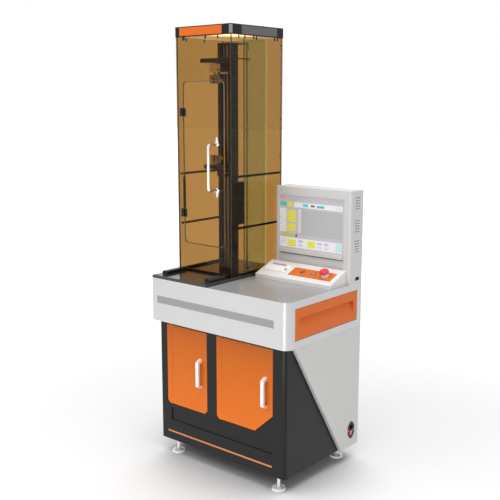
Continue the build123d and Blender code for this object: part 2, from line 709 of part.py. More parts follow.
def rod_pattern(grown):
    """Holes of the two guide rods about the place in use."""
    with GridLocations(ROD_SPACING, 0, 2, 1):
        Circle(ROD_RADIUS + grown, mode=Mode.SUBTRACT)


def guide_rods():
    """Two ground rods beside the screw, from the base plate to the head plate."""
    with BuildPart() as rods:
        with BuildSketch(seen_from_above(PLATE_TOP)):
            with Locations((TEST_AXIS_X, SCREW_Y)):
                with GridLocations(ROD_SPACING, 0, 2, 1):
                    Circle(ROD_RADIUS)
        extrude(amount=COLUMN_TOP - PLATE_TOP)
    save(rods, "guide_rods")


def drive_screw():
    """Screw with turned-down ends and the coupling on its foot, as one turning piece."""
    motor_top = DECK_TOP - WORKTOP_THICK - SHEET - PEDESTAL_HIGH
    low = motor_top - MOTOR_WIDE / 4 + SEAT
    clamp_low = motor_top + (PEDESTAL_HIGH - COUPLING_LONG) / 2
    clamp_high = clamp_low + COUPLING_LONG
    waist = COUPLING_RADIUS * COUPLING_WAIST
    middle = (clamp_low + clamp_high) / 2
    body_low, body_high = PLATE_TOP + FOOT_BLOCK + SEAT, COLUMN_TOP - SEAT
    with BuildPart() as screw:
        with BuildSketch(Plane(origin=(x_at(TEST_AXIS_X), y_at(SCREW_Y), 0), z_dir=(0, -1, 0),
                               x_dir=(1, 0, 0))):
            Polygon(
                (0, low), (SCREW_STUB, low), (SCREW_STUB, clamp_low), (COUPLING_RADIUS, clamp_low),
                (COUPLING_RADIUS, middle - 2), (waist, middle - 2), (waist, middle + 2),
                (COUPLING_RADIUS, middle + 2), (COUPLING_RADIUS, clamp_high),
                (SCREW_STUB, clamp_high), (SCREW_STUB, body_low), (SCREW_RADIUS, body_low),
                (SCREW_RADIUS, body_high), (SCREW_STUB, body_high),
                (SCREW_STUB, COLUMN_TOP + HEAD_THICK), (0, COLUMN_TOP + HEAD_THICK), align=None,
            )
        revolve(axis=Axis((x_at(TEST_AXIS_X), y_at(SCREW_Y), 0), (0, 0, 1)))
    save(screw, "drive_screw")


def carriage():
    """Block that slides in the column on rods and screw, with a neck through the front slot."""
    top = UPPER_ARM_BOTTOM + ARM_THICK
    low = top - CARRIAGE_HIGH
    wide = COLUMN_RIGHT - COLUMN_LEFT - 2 * COLUMN_WALL - 2 * CARRIAGE_GAP
    deep = COLUMN_BACK - COLUMN_FRONT - 2 * COLUMN_WALL - 2 * CARRIAGE_GAP
    neck = COLUMN_SLOT - 2 * CARRIAGE_GAP
    with BuildPart() as block:
        with BuildSketch(seen_from_above(low)):
            with Locations((TEST_AXIS_X, SCREW_Y)):
                Rectangle(wide, deep)
            span((TEST_AXIS_X - neck / 2, COLUMN_FRONT - CARRIAGE_GAP),
                 (TEST_AXIS_X + neck / 2, SCREW_Y))
            with Locations((TEST_AXIS_X, SCREW_Y)):
                Circle(SCREW_RADIUS + FIT, mode=Mode.SUBTRACT)
                rod_pattern(FIT)
        extrude(amount=CARRIAGE_HIGH)
    save(block, "carriage")


def arm(bottom, front, front_at_column, name, finger):
    """Arm plate in front of the column, its gusset, and on the moving one the limit finger."""
    right = ARM_RIGHT
    with BuildPart() as plate:
        with BuildSketch(seen_from_above(bottom)):
            span((ARM_LEFT, front), (right, front_at_column))
        extrude(amount=ARM_THICK)
        upright_edges = plate.edges().filter_by(Axis.Z).group_by(Axis.Y)[0]
        chamfer(upright_edges, length=ARM_THICK / 2)
        with BuildSketch(facing_right(TEST_AXIS_X + GUSSET_THICK / 2)):
            Polygon(
                (front_at_column, bottom), (front_at_column, bottom - GUSSET_HIGH),
                (front_at_column - ARM_THICK / 2, bottom - GUSSET_HIGH),
                (TEST_AXIS_Y + CELL_THICK, bottom), align=None,
            )
        extrude(amount=-GUSSET_THICK)
        with BuildSketch(facing_front(front_at_column)):
            with Locations((TEST_AXIS_X, bottom + ARM_THICK / 2 - GUSSET_HIGH / 2)):
                Rectangle(COLUMN_RIGHT - COLUMN_LEFT, ARM_THICK + GUSSET_HIGH)
        extrude(amount=GUSSET_THICK)
        if finger:
            limit_finger(bottom + ARM_THICK)
    save(plate, name)


def limit_finger(level):
    """Thin tongue on the open arm that reaches back to the limit rod."""
    column_side = COLUMN_RIGHT + SEAT
    reach = LIMIT_Y + FINGER_WIDE
    with BuildSketch(seen_from_above(level)) as tongue:
        span((column_side, TEST_AXIS_Y), (column_side + FINGER_WIDE, reach))
        with Locations((LIMIT_X, LIMIT_Y)):
            Circle(FINGER_WIDE)
            Circle(LIMIT_RADIUS + 2 * SEAT, mode=Mode.SUBTRACT)
    extrude(tongue.sketch, amount=FINGER_THICK)


def load_cell():
    """S-shaped load cell hung under the moving arm, with its two saw cuts."""
    top = UPPER_ARM_BOTTOM
    left, right = TEST_AXIS_X - CELL_WIDE / 2, TEST_AXIS_X + CELL_WIDE / 2
    stud = GRIP_WIDE / 8
    low = top - CELL_HIGH - stud
    with BuildPart() as cell:
        with BuildSketch(facing_front(TEST_AXIS_Y - CELL_THICK / 2)):
            span((left, low), (right, top - stud))
            with BuildSketch(mode=Mode.SUBTRACT):
                upper = top - stud - CELL_HIGH / 4
                span((left, upper - CELL_SLOT), (right - CELL_WIDE / 5, upper))
                lower = low + CELL_HIGH / 4
                span((left + CELL_WIDE / 5, lower), (right, lower + CELL_SLOT))
        extrude(amount=-CELL_THICK)
        for level, amount in ((top, -stud), (low, -stud)):
            with BuildSketch(seen_from_above(level)):
                with Locations((TEST_AXIS_X, TEST_AXIS_Y)):
                    Circle(stud)
            extrude(amount=amount)
    save(cell, "load_cell")


def grip_body(root, points_up, name):
    """Vice body of one grip: stem, back, and a jaw window bored for the clamp screw."""
    turn = 1 if points_up else -1
    stem = GRIP_WIDE / 5
    bed = root + turn * stem
    tip = bed + turn * GRIP_HIGH
    left, right = TEST_AXIS_X - GRIP_WIDE / 2, TEST_AXIS_X + GRIP_WIDE / 2
    throat = bed + turn * (GRIP_HIGH - JAW_DEEP)
    with BuildPart() as grip:
        with BuildSketch(seen_from_above(root)):
            with Locations((TEST_AXIS_X, TEST_AXIS_Y)):
                Circle(stem)
        extrude(amount=turn * stem)
        with BuildSketch(facing_front(TEST_AXIS_Y - GRIP_THICK / 2)):
            span((left, bed), (right, tip))
            with BuildSketch(mode=Mode.SUBTRACT):
                span((TEST_AXIS_X, throat), (right - JAW_GAP * JAW_LIP, tip))
        extrude(amount=-GRIP_THICK)
        middle = (throat + tip) / 2
        with BuildSketch(facing_right(right)):
            with Locations((TEST_AXIS_Y, middle)):
                Circle(KNOB_RADIUS / 2 + FIT)
        extrude(amount=-GRIP_WIDE / 4, mode=Mode.SUBTRACT)
    save(grip, name)


def grip_jaw(root, points_up, name):
    """Moving jaw of one grip with its clamp screw and knurled knob."""
    turn = 1 if points_up else -1
    bed = root + turn * GRIP_WIDE / 5
    tip = bed + turn * GRIP_HIGH
    throat = bed + turn * (GRIP_HIGH - JAW_DEEP)
    middle = (throat + tip) / 2
    right = TEST_AXIS_X + GRIP_WIDE / 2
    window = right - JAW_GAP * JAW_LIP
    jaw_thick = JAW_GAP / 3
    with BuildPart() as jaw:
        with BuildSketch(facing_right(window - SEAT)):
            with Locations((TEST_AXIS_Y, middle)):
                Rectangle(GRIP_THICK, JAW_DEEP - 4 * SEAT)
        extrude(amount=-jaw_thick)
        with BuildSketch(facing_right(window - SEAT)):
            with Locations((TEST_AXIS_Y, middle)):
                Circle(KNOB_RADIUS / 2)
        extrude(amount=right - window + JAW_GAP + SEAT)
        with BuildSketch(facing_right(right + JAW_GAP)):
            with Locations((TEST_AXIS_Y, middle)):
                Circle(KNOB_RADIUS)
                with PolarLocations(KNOB_RADIUS, KNURLS):
                    Circle(KNOB_RADIUS / 8, mode=Mode.SUBTRACT)
        extrude(amount=KNOB_RADIUS)
    save(jaw, name)


def limit_rod():
    """Rod with its two stop collars and the clip that holds it to the column's head."""
    with BuildPart() as rod:
        with BuildSketch(seen_from_above(PLATE_TOP)):
            with Locations((LIMIT_X, LIMIT_Y)):
                Circle(LIMIT_RADIUS)
        extrude(amount=LIMIT_TOP - PLATE_TOP)
        finger_low = UPPER_ARM_BOTTOM + ARM_THICK
        stop_high = finger_low + FINGER_THICK + TRAVEL_UP + SEAT
        stop_low = finger_low - TRAVEL_DOWN - SEAT - COLLAR_HIGH
        for level in (stop_high, stop_low):
            with BuildSketch(seen_from_above(level)):
                with Locations((LIMIT_X, LIMIT_Y)):
                    Circle(COLLAR_RADIUS)
            extrude(amount=COLLAR_HIGH)
        with BuildSketch(seen_from_above(PLATE_TOP)):
            with Locations((LIMIT_X, LIMIT_Y)):
                Circle(COLLAR_RADIUS)
        extrude(amount=COLLAR_HIGH / 2)
        with BuildSketch(seen_from_above(LIMIT_TOP)):
            with Locations((LIMIT_X, LIMIT_Y)):
                Circle(COLLAR_RADIUS)
            span((LIMIT_X - COLLAR_RADIUS, COLUMN_BACK), (LIMIT_X + COLLAR_RADIUS, LIMIT_Y))
            span((TEST_AXIS_X, COLUMN_BACK), (LIMIT_X, COLUMN_BACK + FINGER_WIDE))
        extrude(amount=-(LIMIT_TOP - COLUMN_TOP))
    save(rod, "limit_rod")


def amplifier_box():
    """Slim box of the load cell's amplifier on the right side of the column."""
    with BuildPart() as box:
        with BuildSketch(seen_from_above(BOX_BOTTOM)):
            span((COLUMN_RIGHT, COLUMN_FRONT), (COLUMN_RIGHT + BOX_THICK, BOX_BACK))
        extrude(amount=BOX_TOP - BOX_BOTTOM)
        outer = box.edges().filter_by(Axis.Z).group_by(Axis.X)[-1]
        fillet(outer, radius=COLUMN_WALL)
    save(box, "amplifier_box")


def hatch_outline(grown):
    """Rounded outline of the guard's hatch, grown by a gap."""
    wide, high = HATCH_RIGHT - HATCH_LEFT, HATCH_TOP - HATCH_BOTTOM
    with Locations(((HATCH_LEFT + HATCH_RIGHT) / 2, (HATCH_BOTTOM + HATCH_TOP) / 2)):
        RectangleRounded(wide + 2 * grown, high + 2 * grown, HATCH_CORNER + grown)


def guard_front():
    """Front sheet of the guard with the opening of its hatch."""
    with BuildPart() as sheet:
        with BuildSketch(facing_front(GUARD_FRONT)):
            span((GUARD_LEFT, PLATE_TOP), (GUARD_RIGHT, GUARD_TOP))
            with BuildSketch(mode=Mode.SUBTRACT):
                hatch_outline(HATCH_GAP)
        extrude(amount=-ACRYLIC)
    save(sheet, "guard_front")


def guard_sides():
    """Left and right sheets of the guard."""
    with BuildPart() as sheets:
        for right in (GUARD_LEFT + ACRYLIC, GUARD_RIGHT):
            with BuildSketch(facing_right(right)):
                span((GUARD_FRONT + ACRYLIC, PLATE_TOP), (GUARD_BACK, GUARD_TOP))
            extrude(amount=-ACRYLIC)
    save(sheets, "guard_sides")


def guard_back():
    """Rear sheet of the guard, and the screen that divides off the space behind the column."""
    inner_left, inner_right = GUARD_LEFT + ACRYLIC, GUARD_RIGHT - ACRYLIC
    with BuildPart() as sheets:
        with BuildSketch(facing_front(GUARD_BACK - ACRYLIC)):
            span((inner_left, PLATE_TOP), (inner_right, GUARD_TOP))
        extrude(amount=-ACRYLIC)
        with BuildSketch(facing_right(REAR_GUARD_X + ACRYLIC)):
            span((COLUMN_BACK + REAR_GUARD_GAP, PLATE_TOP), (GUARD_BACK - ACRYLIC, GUARD_TOP))
        extrude(amount=-ACRYLIC)
    save(sheets, "guard_back")


def guard_braces():
    """Black fittings of the guard: bars across the sides, low sill, studs under the cap."""
    inner_left, inner_right = GUARD_LEFT + ACRYLIC, GUARD_RIGHT - ACRYLIC
    inner_front, inner_back = GUARD_FRONT + ACRYLIC, GUARD_BACK - ACRYLIC
    stud_ys = (BRACE_FRONT + CAP_HEIGHT, (GUARD_FRONT + GUARD_BACK) / 2, BRACE_BACK - CAP_HEIGHT)
    studs = [(stud_x, inner_front + STUD_RADIUS) for stud_x in (HATCH_LEFT, D_HANDLE_X)]
    studs += [(inner_left + STUD_RADIUS, stud_y) for stud_y in stud_ys]
    studs += [(inner_right - STUD_RADIUS, stud_y) for stud_y in stud_ys]
    with BuildPart() as braces:
        for level in BRACE_ZS:
            for start, amount in ((inner_left, BRACE_DEEP), (inner_right, -BRACE_DEEP)):
                with BuildSketch(facing_right(start)):
                    span((BRACE_FRONT, level - BRACE_HIGH / 2), (BRACE_BACK, level + BRACE_HIGH / 2))
                extrude(amount=amount)
        with BuildSketch(seen_from_above(PLATE_TOP)):
            span((inner_left, inner_front), (inner_right, inner_front + SILL_WIDE))
            for side in (inner_left, inner_right - SILL_WIDE):
                span((side, inner_front + SILL_WIDE + SEAT), (side + SILL_WIDE, inner_back))
        extrude(amount=SILL_HIGH)
        with BuildSketch(seen_from_above(GUARD_TOP)):
            with Locations(studs):
                Circle(STUD_RADIUS)
        extrude(amount=-STUD_HIGH)
    save(braces, "guard_braces")


def guard_hatch():
    """Sheet of the hatch, flush in the guard's front."""
    with BuildPart() as sheet:
        with BuildSketch(facing_front(GUARD_FRONT)):
            hatch_outline(0)
        extrude(amount=-ACRYLIC)
    save(sheet, "guard_hatch")


def knuckles(middle, first, last, step):
    """Barrel rings of one hinge, from first to last in steps of thirds of its height."""
    third = HINGE_HIGH / 3
    axis_y = GUARD_FRONT - HINGE_RADIUS
    for index in range(first, last, step):
        low = middle - HINGE_HIGH / 2 + index * third
        with BuildSketch(seen_from_above(low + KNUCKLE_GAP / 2)) as ring:
            with Locations((HINGE_X, axis_y)):
                Circle(HINGE_RADIUS)
        extrude(ring.sketch, amount=third - KNUCKLE_GAP)


def hinge_fixed_leaves():
    """Leaves screwed to the guard, each with two outer knuckles and the pin."""
    with BuildPart() as leaves:
        for middle in HINGE_ZS:
            with BuildSketch(facing_front(GUARD_FRONT)):
                with Locations((HINGE_X - HINGE_LEAF_WIDE / 2, middle)):
                    Rectangle(HINGE_LEAF_WIDE, HINGE_HIGH)
                with Locations((HINGE_X, middle)):
                    Rectangle(2 * HINGE_RADIUS + 2 * SEAT, HINGE_HIGH / 3, mode=Mode.SUBTRACT)
            extrude(amount=HINGE_LEAF)
            knuckles(middle, 0, 3, 2)
            with BuildSketch(seen_from_above(middle - HINGE_HIGH / 2)):
                with Locations((HINGE_X, GUARD_FRONT - HINGE_RADIUS)):
                    Circle(HINGE_PIN)
            extrude(amount=HINGE_HIGH)
    save(leaves, "hinge_fixed_leaves")


def hinge_hatch_leaves():
    """Leaves on the hatch with bored middle knuckles, and the strip above the lower one."""
    third = HINGE_HIGH / 3
    with BuildPart() as leaves:
        for middle in HINGE_ZS:
            with BuildSketch(facing_front(GUARD_FRONT)):
                with Locations((HINGE_X + HINGE_LEAF_WIDE / 2, middle)):
                    Rectangle(HINGE_LEAF_WIDE, HINGE_HIGH)
                with Locations((HINGE_X, middle + third), (HINGE_X, middle - third)):
                    Rectangle(2 * HINGE_RADIUS + 2 * SEAT, third, mode=Mode.SUBTRACT)
                with Locations((HINGE_X - HINGE_RADIUS, middle)):
                    Rectangle(2 * HINGE_RADIUS, HINGE_HIGH, mode=Mode.SUBTRACT)
            extrude(amount=HINGE_LEAF)
            knuckles(middle, 1, 2, 1)
            with BuildSketch(seen_from_above(middle - third)):
                with Locations((HINGE_X, GUARD_FRONT - HINGE_RADIUS)):
                    Circle(HINGE_PIN + FIT)
            extrude(amount=2 * third, mode=Mode.SUBTRACT)
        with BuildSketch(facing_front(GUARD_FRONT)):
            span((HATCH_LEFT + SEAT, EDGE_TRIM_BOTTOM), (HATCH_LEFT + ACRYLIC, EDGE_TRIM_TOP))
        extrude(amount=HINGE_LEAF)
    save(leaves, "hinge_hatch_leaves")


def hatch_handle():
    """Bent D handle on two drop-shaped feet, standing on the hatch."""
    low, high = D_HANDLE_BOTTOM, D_HANDLE_TOP
    face = GUARD_FRONT - TEAR_THICK
    out = GUARD_FRONT - D_HANDLE_STANDOFF
    bend = HANDLE_BEND * D_HANDLE_RADIUS
    with BuildPart() as handle:
        with BuildLine(facing_right(D_HANDLE_X)):
            FilletPolyline((face, low), (out, low), (out, high), (face, high), radius=bend)
        with BuildSketch(Plane(origin=(x_at(D_HANDLE_X), y_at(face), low), z_dir=(0, -1, 0))):
            Circle(D_HANDLE_RADIUS)
        sweep()
        for level, turn in ((low, -1), (high, 1)):
            with BuildSketch(facing_front(GUARD_FRONT)):
                with Locations((D_HANDLE_X, level)):
                    Circle(TEAR_WIDE / 2)
                far = level + turn * (TEAR_LONG - TEAR_WIDE / 2)
                with Locations((D_HANDLE_X, far)):
                    Circle(TEAR_WIDE / 4)
                make_hull()
            extrude(amount=TEAR_THICK)
    save(handle, "hatch_handle")


def cap_frame():
    """Lid over the guard: rounded outline, deep rim, sunk places for its colour panels."""
    with BuildPart() as cap:
        with BuildSketch(seen_from_above(GUARD_TOP)):
            span((CAP_LEFT, CAP_FRONT), (CAP_RIGHT, DEPTH))
        extrude(amount=CAP_HEIGHT)
        fillet(cap.edges().filter_by(Axis.Z), radius=CAP_CORNER)
        fillet(cap.faces().sort_by(Axis.Z)[-1].edges(), radius=CAP_CORNER / 2)
        with BuildSketch(seen_from_above(GUARD_TOP)):
            span((CAP_LEFT + CAP_WALL, CAP_FRONT + CAP_WALL), (CAP_RIGHT - CAP_WALL, DEPTH - CAP_WALL))
        extrude(amount=CAP_HEIGHT - CAP_LID, mode=Mode.SUBTRACT)
        with BuildSketch(facing_front(CAP_FRONT)):
            insert_outline(INSERT_LEFT, INSERT_RIGHT)
        extrude(amount=-INSERT_DEEP, mode=Mode.SUBTRACT)
        with BuildSketch(facing_right(CAP_RIGHT)):
            insert_outline(INSERT_FRONT, INSERT_BACK)
        extrude(amount=-INSERT_DEEP, mode=Mode.SUBTRACT)
    save(cap, "cap_frame")


def insert_outline(start, end):
    """Outline of a colour panel on one side of the cap."""
    span((start, GUARD_TOP + INSERT_MARGIN), (end, CAP_TOP - INSERT_MARGIN))


def cap_insert(plane, start, end, name):
    """Colour panel let into one side of the cap."""
    with BuildPart() as insert:
        with BuildSketch(plane):
            insert_outline(start, end)
        extrude(amount=-INSERT_DEEP)
    save(insert, name)


def cap_clip():
    """Bright angle clip round the cap's front right corner."""
    low, high = GUARD_TOP + INSERT_MARGIN, CAP_TOP - INSERT_MARGIN
    with BuildPart() as clip:
        with BuildSketch(seen_from_above(low)):
            span((CAP_RIGHT - CLIP_WIDE, CAP_FRONT - CLIP_THICK),
                 (CAP_RIGHT + CLIP_THICK, CAP_FRONT + CLIP_WIDE))
            with BuildSketch(mode=Mode.SUBTRACT):
                span((CAP_LEFT, CAP_FRONT), (CAP_RIGHT, DEPTH))
        extrude(amount=high - low)
    save(clip, "cap_clip")


def cap_light():
    """Flat lamp held in the cap's rim, level with the tops of the guard's sheets."""
    inner_left, inner_right = CAP_LEFT + CAP_WALL, CAP_RIGHT - CAP_WALL
    with BuildPart() as lamp:
        with BuildSketch(seen_from_above(GUARD_TOP)):
            span((inner_left, CAP_FRONT + CAP_WALL), (inner_right, DEPTH - CAP_WALL))
        extrude(amount=LIGHT_THICK)
        fillet(lamp.faces().sort_by(Axis.Z)[0].edges(), radius=LIGHT_THICK / 4)
    save(lamp, "cap_light")


def console_housing():
    """Upright monitor housing: hollow, eased corners, sunk screen field, vents in its side."""
    with BuildPart() as housing:
        with BuildSketch(seen_from_above(DECK_TOP)):
            span((CONSOLE_LEFT, CONSOLE_FRONT), (WIDTH, DEPTH))
        extrude(amount=CONSOLE_TOP - DECK_TOP)
        front_edges = housing.edges().filter_by(Axis.Z).group_by(Axis.Y)[0].sort_by(Axis.X)
        fillet(front_edges[-1], radius=CONSOLE_CORNER)
        fillet(housing.faces().sort_by(Axis.Z)[-1].edges(), radius=CONSOLE_WALL)
        with BuildSketch(facing_front(CONSOLE_FRONT)):
            span((FIELD_LEFT, DECK_TOP), (FIELD_RIGHT, FIELD_TOP))
        extrude(amount=-FIELD_DEEP, mode=Mode.SUBTRACT)
        inner_front = CONSOLE_FRONT + FIELD_DEEP + CONSOLE_WALL
        with BuildSketch(seen_from_above(DECK_TOP + CONSOLE_WALL)):
            span((CONSOLE_LEFT + CONSOLE_WALL, inner_front), (WIDTH - CONSOLE_WALL, DEPTH - CONSOLE_WALL))
        extrude(amount=CONSOLE_TOP - DECK_TOP - 2 * CONSOLE_WALL, mode=Mode.SUBTRACT)
        with BuildSketch(facing_right(WIDTH)):
            for level in VENT_ZS:
                for column_y in VENT_YS:
                    with Locations((column_y, level)):
                        with GridLocations(0, VENT_PITCH, 1, VENT_ROWS):
                            SlotOverall(VENT_LONG, VENT_HIGH)
            usb_outline(0)
        extrude(amount=-CONSOLE_WALL, mode=Mode.SUBTRACT)
    save(housing, "console_housing")


def usb_outline(grown):
    """Outline of the data socket in the console's side."""
    with Locations((USB_Y, USB_Z)):
        Rectangle(USB_WIDE + 2 * grown, USB_HIGH + 2 * grown)


def usb_port():
    """Data socket set in the console's side, open to the right."""
    rim = USB_HIGH / 6
    with BuildPart() as port:
        with BuildSketch(facing_right(WIDTH)):
            usb_outline(0)
        extrude(amount=-USB_DEEP)
        with BuildSketch(facing_right(WIDTH)):
            usb_outline(-rim)
        extrude(amount=-USB_DEEP + rim, mode=Mode.SUBTRACT)
        with BuildSketch(facing_right(WIDTH - USB_DEEP + rim)):
            with Locations((USB_Y, USB_Z)):
                Rectangle(USB_WIDE / 2, rim)
        extrude(amount=USB_DEEP - 2 * rim)
    save(port, "usb_port")


def touch_screen():
    """Display module on the floor of the console's sunk field, with its ledge."""
    with BuildPart() as screen:
        with BuildSketch(facing_front(CONSOLE_FRONT + FIELD_DEEP)):
            span((FIELD_LEFT, SCREEN_BOTTOM), (FIELD_RIGHT, FIELD_TOP))
        extrude(amount=SCREEN_THICK)
        rim = screen.faces().sort_by(Axis.Y)[0].edges()
        chamfer(rim, length=SCREEN_THICK / 5)
    save(screen, "touch_screen")


def console_desk():
    """Sloped desk in front of the monitor: a folded cover with the printer's bay."""
    low, lip = DECK_TOP, DECK_TOP + TABLET_LIP
    slope = radians(TABLET_SLOPE)
    skin = SHEET / cos(slope)
    inner_lip = lip + SHEET * tan(slope) - skin
    with BuildPart() as desk:
        with BuildSketch(facing_right(TABLET_RIGHT)):
            Polygon(
                (TABLET_FRONT, low), (TABLET_FRONT, lip), (CONSOLE_FRONT, lip + TABLET_RISE),
                (CONSOLE_FRONT, low), align=None,
            )
        extrude(amount=TABLET_LEFT - TABLET_RIGHT)
        lip_edge = desk.edges().filter_by(Axis.X).group_by(Axis.Y)[0].sort_by(Axis.Z)[-1]
        fillet(lip_edge, radius=TABLET_LIP / 5)
        with BuildSketch(facing_right(TABLET_RIGHT - SHEET)):
            Polygon(
                (TABLET_FRONT + SHEET, low), (TABLET_FRONT + SHEET, inner_lip),
                (CONSOLE_FRONT - SHEET, lip + TABLET_RISE - skin - SHEET * tan(slope)),
                (CONSOLE_FRONT - SHEET, low), align=None,
            )
        extrude(amount=TABLET_LEFT - TABLET_RIGHT + 2 * SHEET, mode=Mode.SUBTRACT)
        with BuildSketch(on_tablet(0)):
            bay_outline(0)
        extrude(amount=-PRINTER_BAY_DEEP, mode=Mode.SUBTRACT)
        with BuildSketch(on_tablet(0)):
            estop_hole()
            for across in BUTTON_XS:
                with Locations((across, BUTTON_UP)):
                    Circle(BUTTON_RADIUS + SEAT)
        extrude(amount=-BUTTON_HIGH - BUTTON_TRAVEL, mode=Mode.SUBTRACT)
    save(desk, "console_desk")


def estop_hole():
    """Hole of the stop button's stem in the open sketch."""
    with Locations((ESTOP_X, ESTOP_UP)):
        Circle(STEM_RADIUS + FIT)


def keypad_plate():
    """Coloured plate on the desk with the holes of its buttons."""
    with BuildPart() as plate:
        with BuildSketch(on_tablet(0)):
            corners = span((KEYPAD_LEFT, KEYPAD_NEAR), (KEYPAD_RIGHT, KEYPAD_FAR)).vertices()
            fillet(corners, radius=KEYPAD_THICK)
            with BuildSketch(mode=Mode.SUBTRACT):
                estop_hole()
                for across in BUTTON_XS:
                    with Locations((across, BUTTON_UP)):
                        Circle(BUTTON_RADIUS + SEAT)
        extrude(amount=KEYPAD_THICK)
    save(plate, "keypad_plate")


def through_tablet(across, up):
    """Plane through a place on the sloped desk; its second axis stands square on the slope."""
    slope = radians(TABLET_SLOPE)
    foot = on_tablet(0).from_local_coords((across, up, 0))
    return Plane(origin=foot, x_dir=(1, 0, 0), z_dir=(0, -cos(slope), -sin(slope)))


def square_to_tablet(across, up):
    """Axis that stands square on the sloped desk."""
    foot = on_tablet(0).from_local_coords((across, up, 0))
    return Axis(foot, on_tablet(0).z_dir)


def push_button(across, name):
    """Push button with an eased crown, sunk in the desk by its travel."""
    top = KEYPAD_THICK + BUTTON_TRAVEL + 1
    with BuildPart() as button:
        with BuildSketch(on_tablet(SEAT - BUTTON_HIGH)):
            with Locations((across, BUTTON_UP)):
                Circle(BUTTON_RADIUS)
        extrude(amount=top + BUTTON_HIGH - SEAT)
        crown = button.edges().filter_by(GeomType.CIRCLE).sort_by(Axis.Z)[-1]
        fillet(crown, radius=BUTTON_TRAVEL / 2)
    save(button, name)


def estop_collar():
    """Bright collar of the stop button, standing on the keypad plate."""
    low, high = KEYPAD_THICK, KEYPAD_THICK + COLLAR_STOP_HIGH
    with BuildPart() as collar:
        with BuildSketch(through_tablet(ESTOP_X, ESTOP_UP)):
            Polygon(
                (STEM_RADIUS + FIT, low), (COLLAR_STOP_RADIUS, low),
                (COLLAR_STOP_RADIUS, high - BUTTON_TRAVEL),
                (COLLAR_STOP_RADIUS - BUTTON_TRAVEL, high), (STEM_RADIUS + FIT, high), align=None,
            )
        revolve(axis=square_to_tablet(ESTOP_X, ESTOP_UP))
    save(collar, "estop_collar")


def estop_head():
    """Red mushroom head with its stem in the collar."""
    low = SEAT - BUTTON_HIGH
    under = KEYPAD_THICK + COLLAR_STOP_HIGH + STOP_TRAVEL + SEAT
    with BuildPart() as head:
        with BuildSketch(on_tablet(low)):
            with Locations((ESTOP_X, ESTOP_UP)):
                Circle(STEM_RADIUS)
        extrude(amount=under - low)
        with BuildSketch(on_tablet(under)):
            with Locations((ESTOP_X, ESTOP_UP)):
                Circle(MUSHROOM_RADIUS)
        extrude(amount=MUSHROOM_HIGH)
        crown = head.faces().sort_by(Axis.Z)[-1].edges()
        fillet(crown, radius=MUSHROOM_HIGH * MUSHROOM_CROWN)
    save(head, "estop_head")


def bay_outline(shrunk):
    """Outline of the printer's bay in the desk, drawn inside by a gap."""
    far = LID_FAR + PAPER_SLOT + 2 * BAY_WALL
    span((LID_LEFT + shrunk, LID_NEAR + shrunk), (LID_RIGHT - shrunk, far - shrunk))


def printer_body():
    """Panel printer: flange on the desk, tray for the roll, rebate for the lid, paper slot."""
    with BuildPart() as body:
        with BuildSketch(on_tablet(0)):
            span((PRINTER_LEFT, PRINTER_NEAR), (PRINTER_RIGHT, PRINTER_FAR))
        extrude(amount=PRINTER_PROUD)
        top = body.faces().sort_by(Axis.Z)[-1]
        fillet(top.edges(), radius=PRINTER_PROUD / 4)
        with BuildSketch(on_tablet(0)):
            bay_outline(SEAT)
        extrude(amount=SEAT - PRINTER_BAY_DEEP)
        with BuildSketch(on_tablet(PRINTER_PROUD)):
            bay_outline(2 * BAY_WALL)
        extrude(amount=-PRINTER_PROUD - PRINTER_BAY_DEEP + BAY_WALL, mode=Mode.SUBTRACT)
        with BuildSketch(on_tablet(PRINTER_PROUD)):
            lid_outline(LID_GAP)
        extrude(amount=-LID_THICK, mode=Mode.SUBTRACT)
    save(body, "printer_body")


def lid_outline(grown):
    """Outline of the printer's lid, grown by a gap."""
    span((LID_LEFT - grown, LID_NEAR - grown), (LID_RIGHT + grown, LID_FAR + grown))


def printer_lid():
    """Lid of the printer, hinged on its near edge, with a finger ridge at the paper slot."""
    with BuildPart() as lid:
        with BuildSketch(on_tablet(PRINTER_PROUD)):
            lid_outline(0)
        extrude(amount=-LID_THICK)
        with BuildSketch(on_tablet(PRINTER_PROUD)):
            span(((LID_LEFT + LID_RIGHT) / 2 - PAPER_SLOT * 3, LID_FAR - PAPER_SLOT),
                 ((LID_LEFT + LID_RIGHT) / 2 + PAPER_SLOT * 3, LID_FAR))
        extrude(amount=BAY_WALL / 2)
    save(lid, "printer_lid")


def rocker_middle():
    """Height of the switch's middle in the mains inlet."""
    return INLET_BOTTOM + (INLET_HIGH - INLET_BODY_HIGH) / 2 + INLET_BODY_HIGH * ROCKER_AT


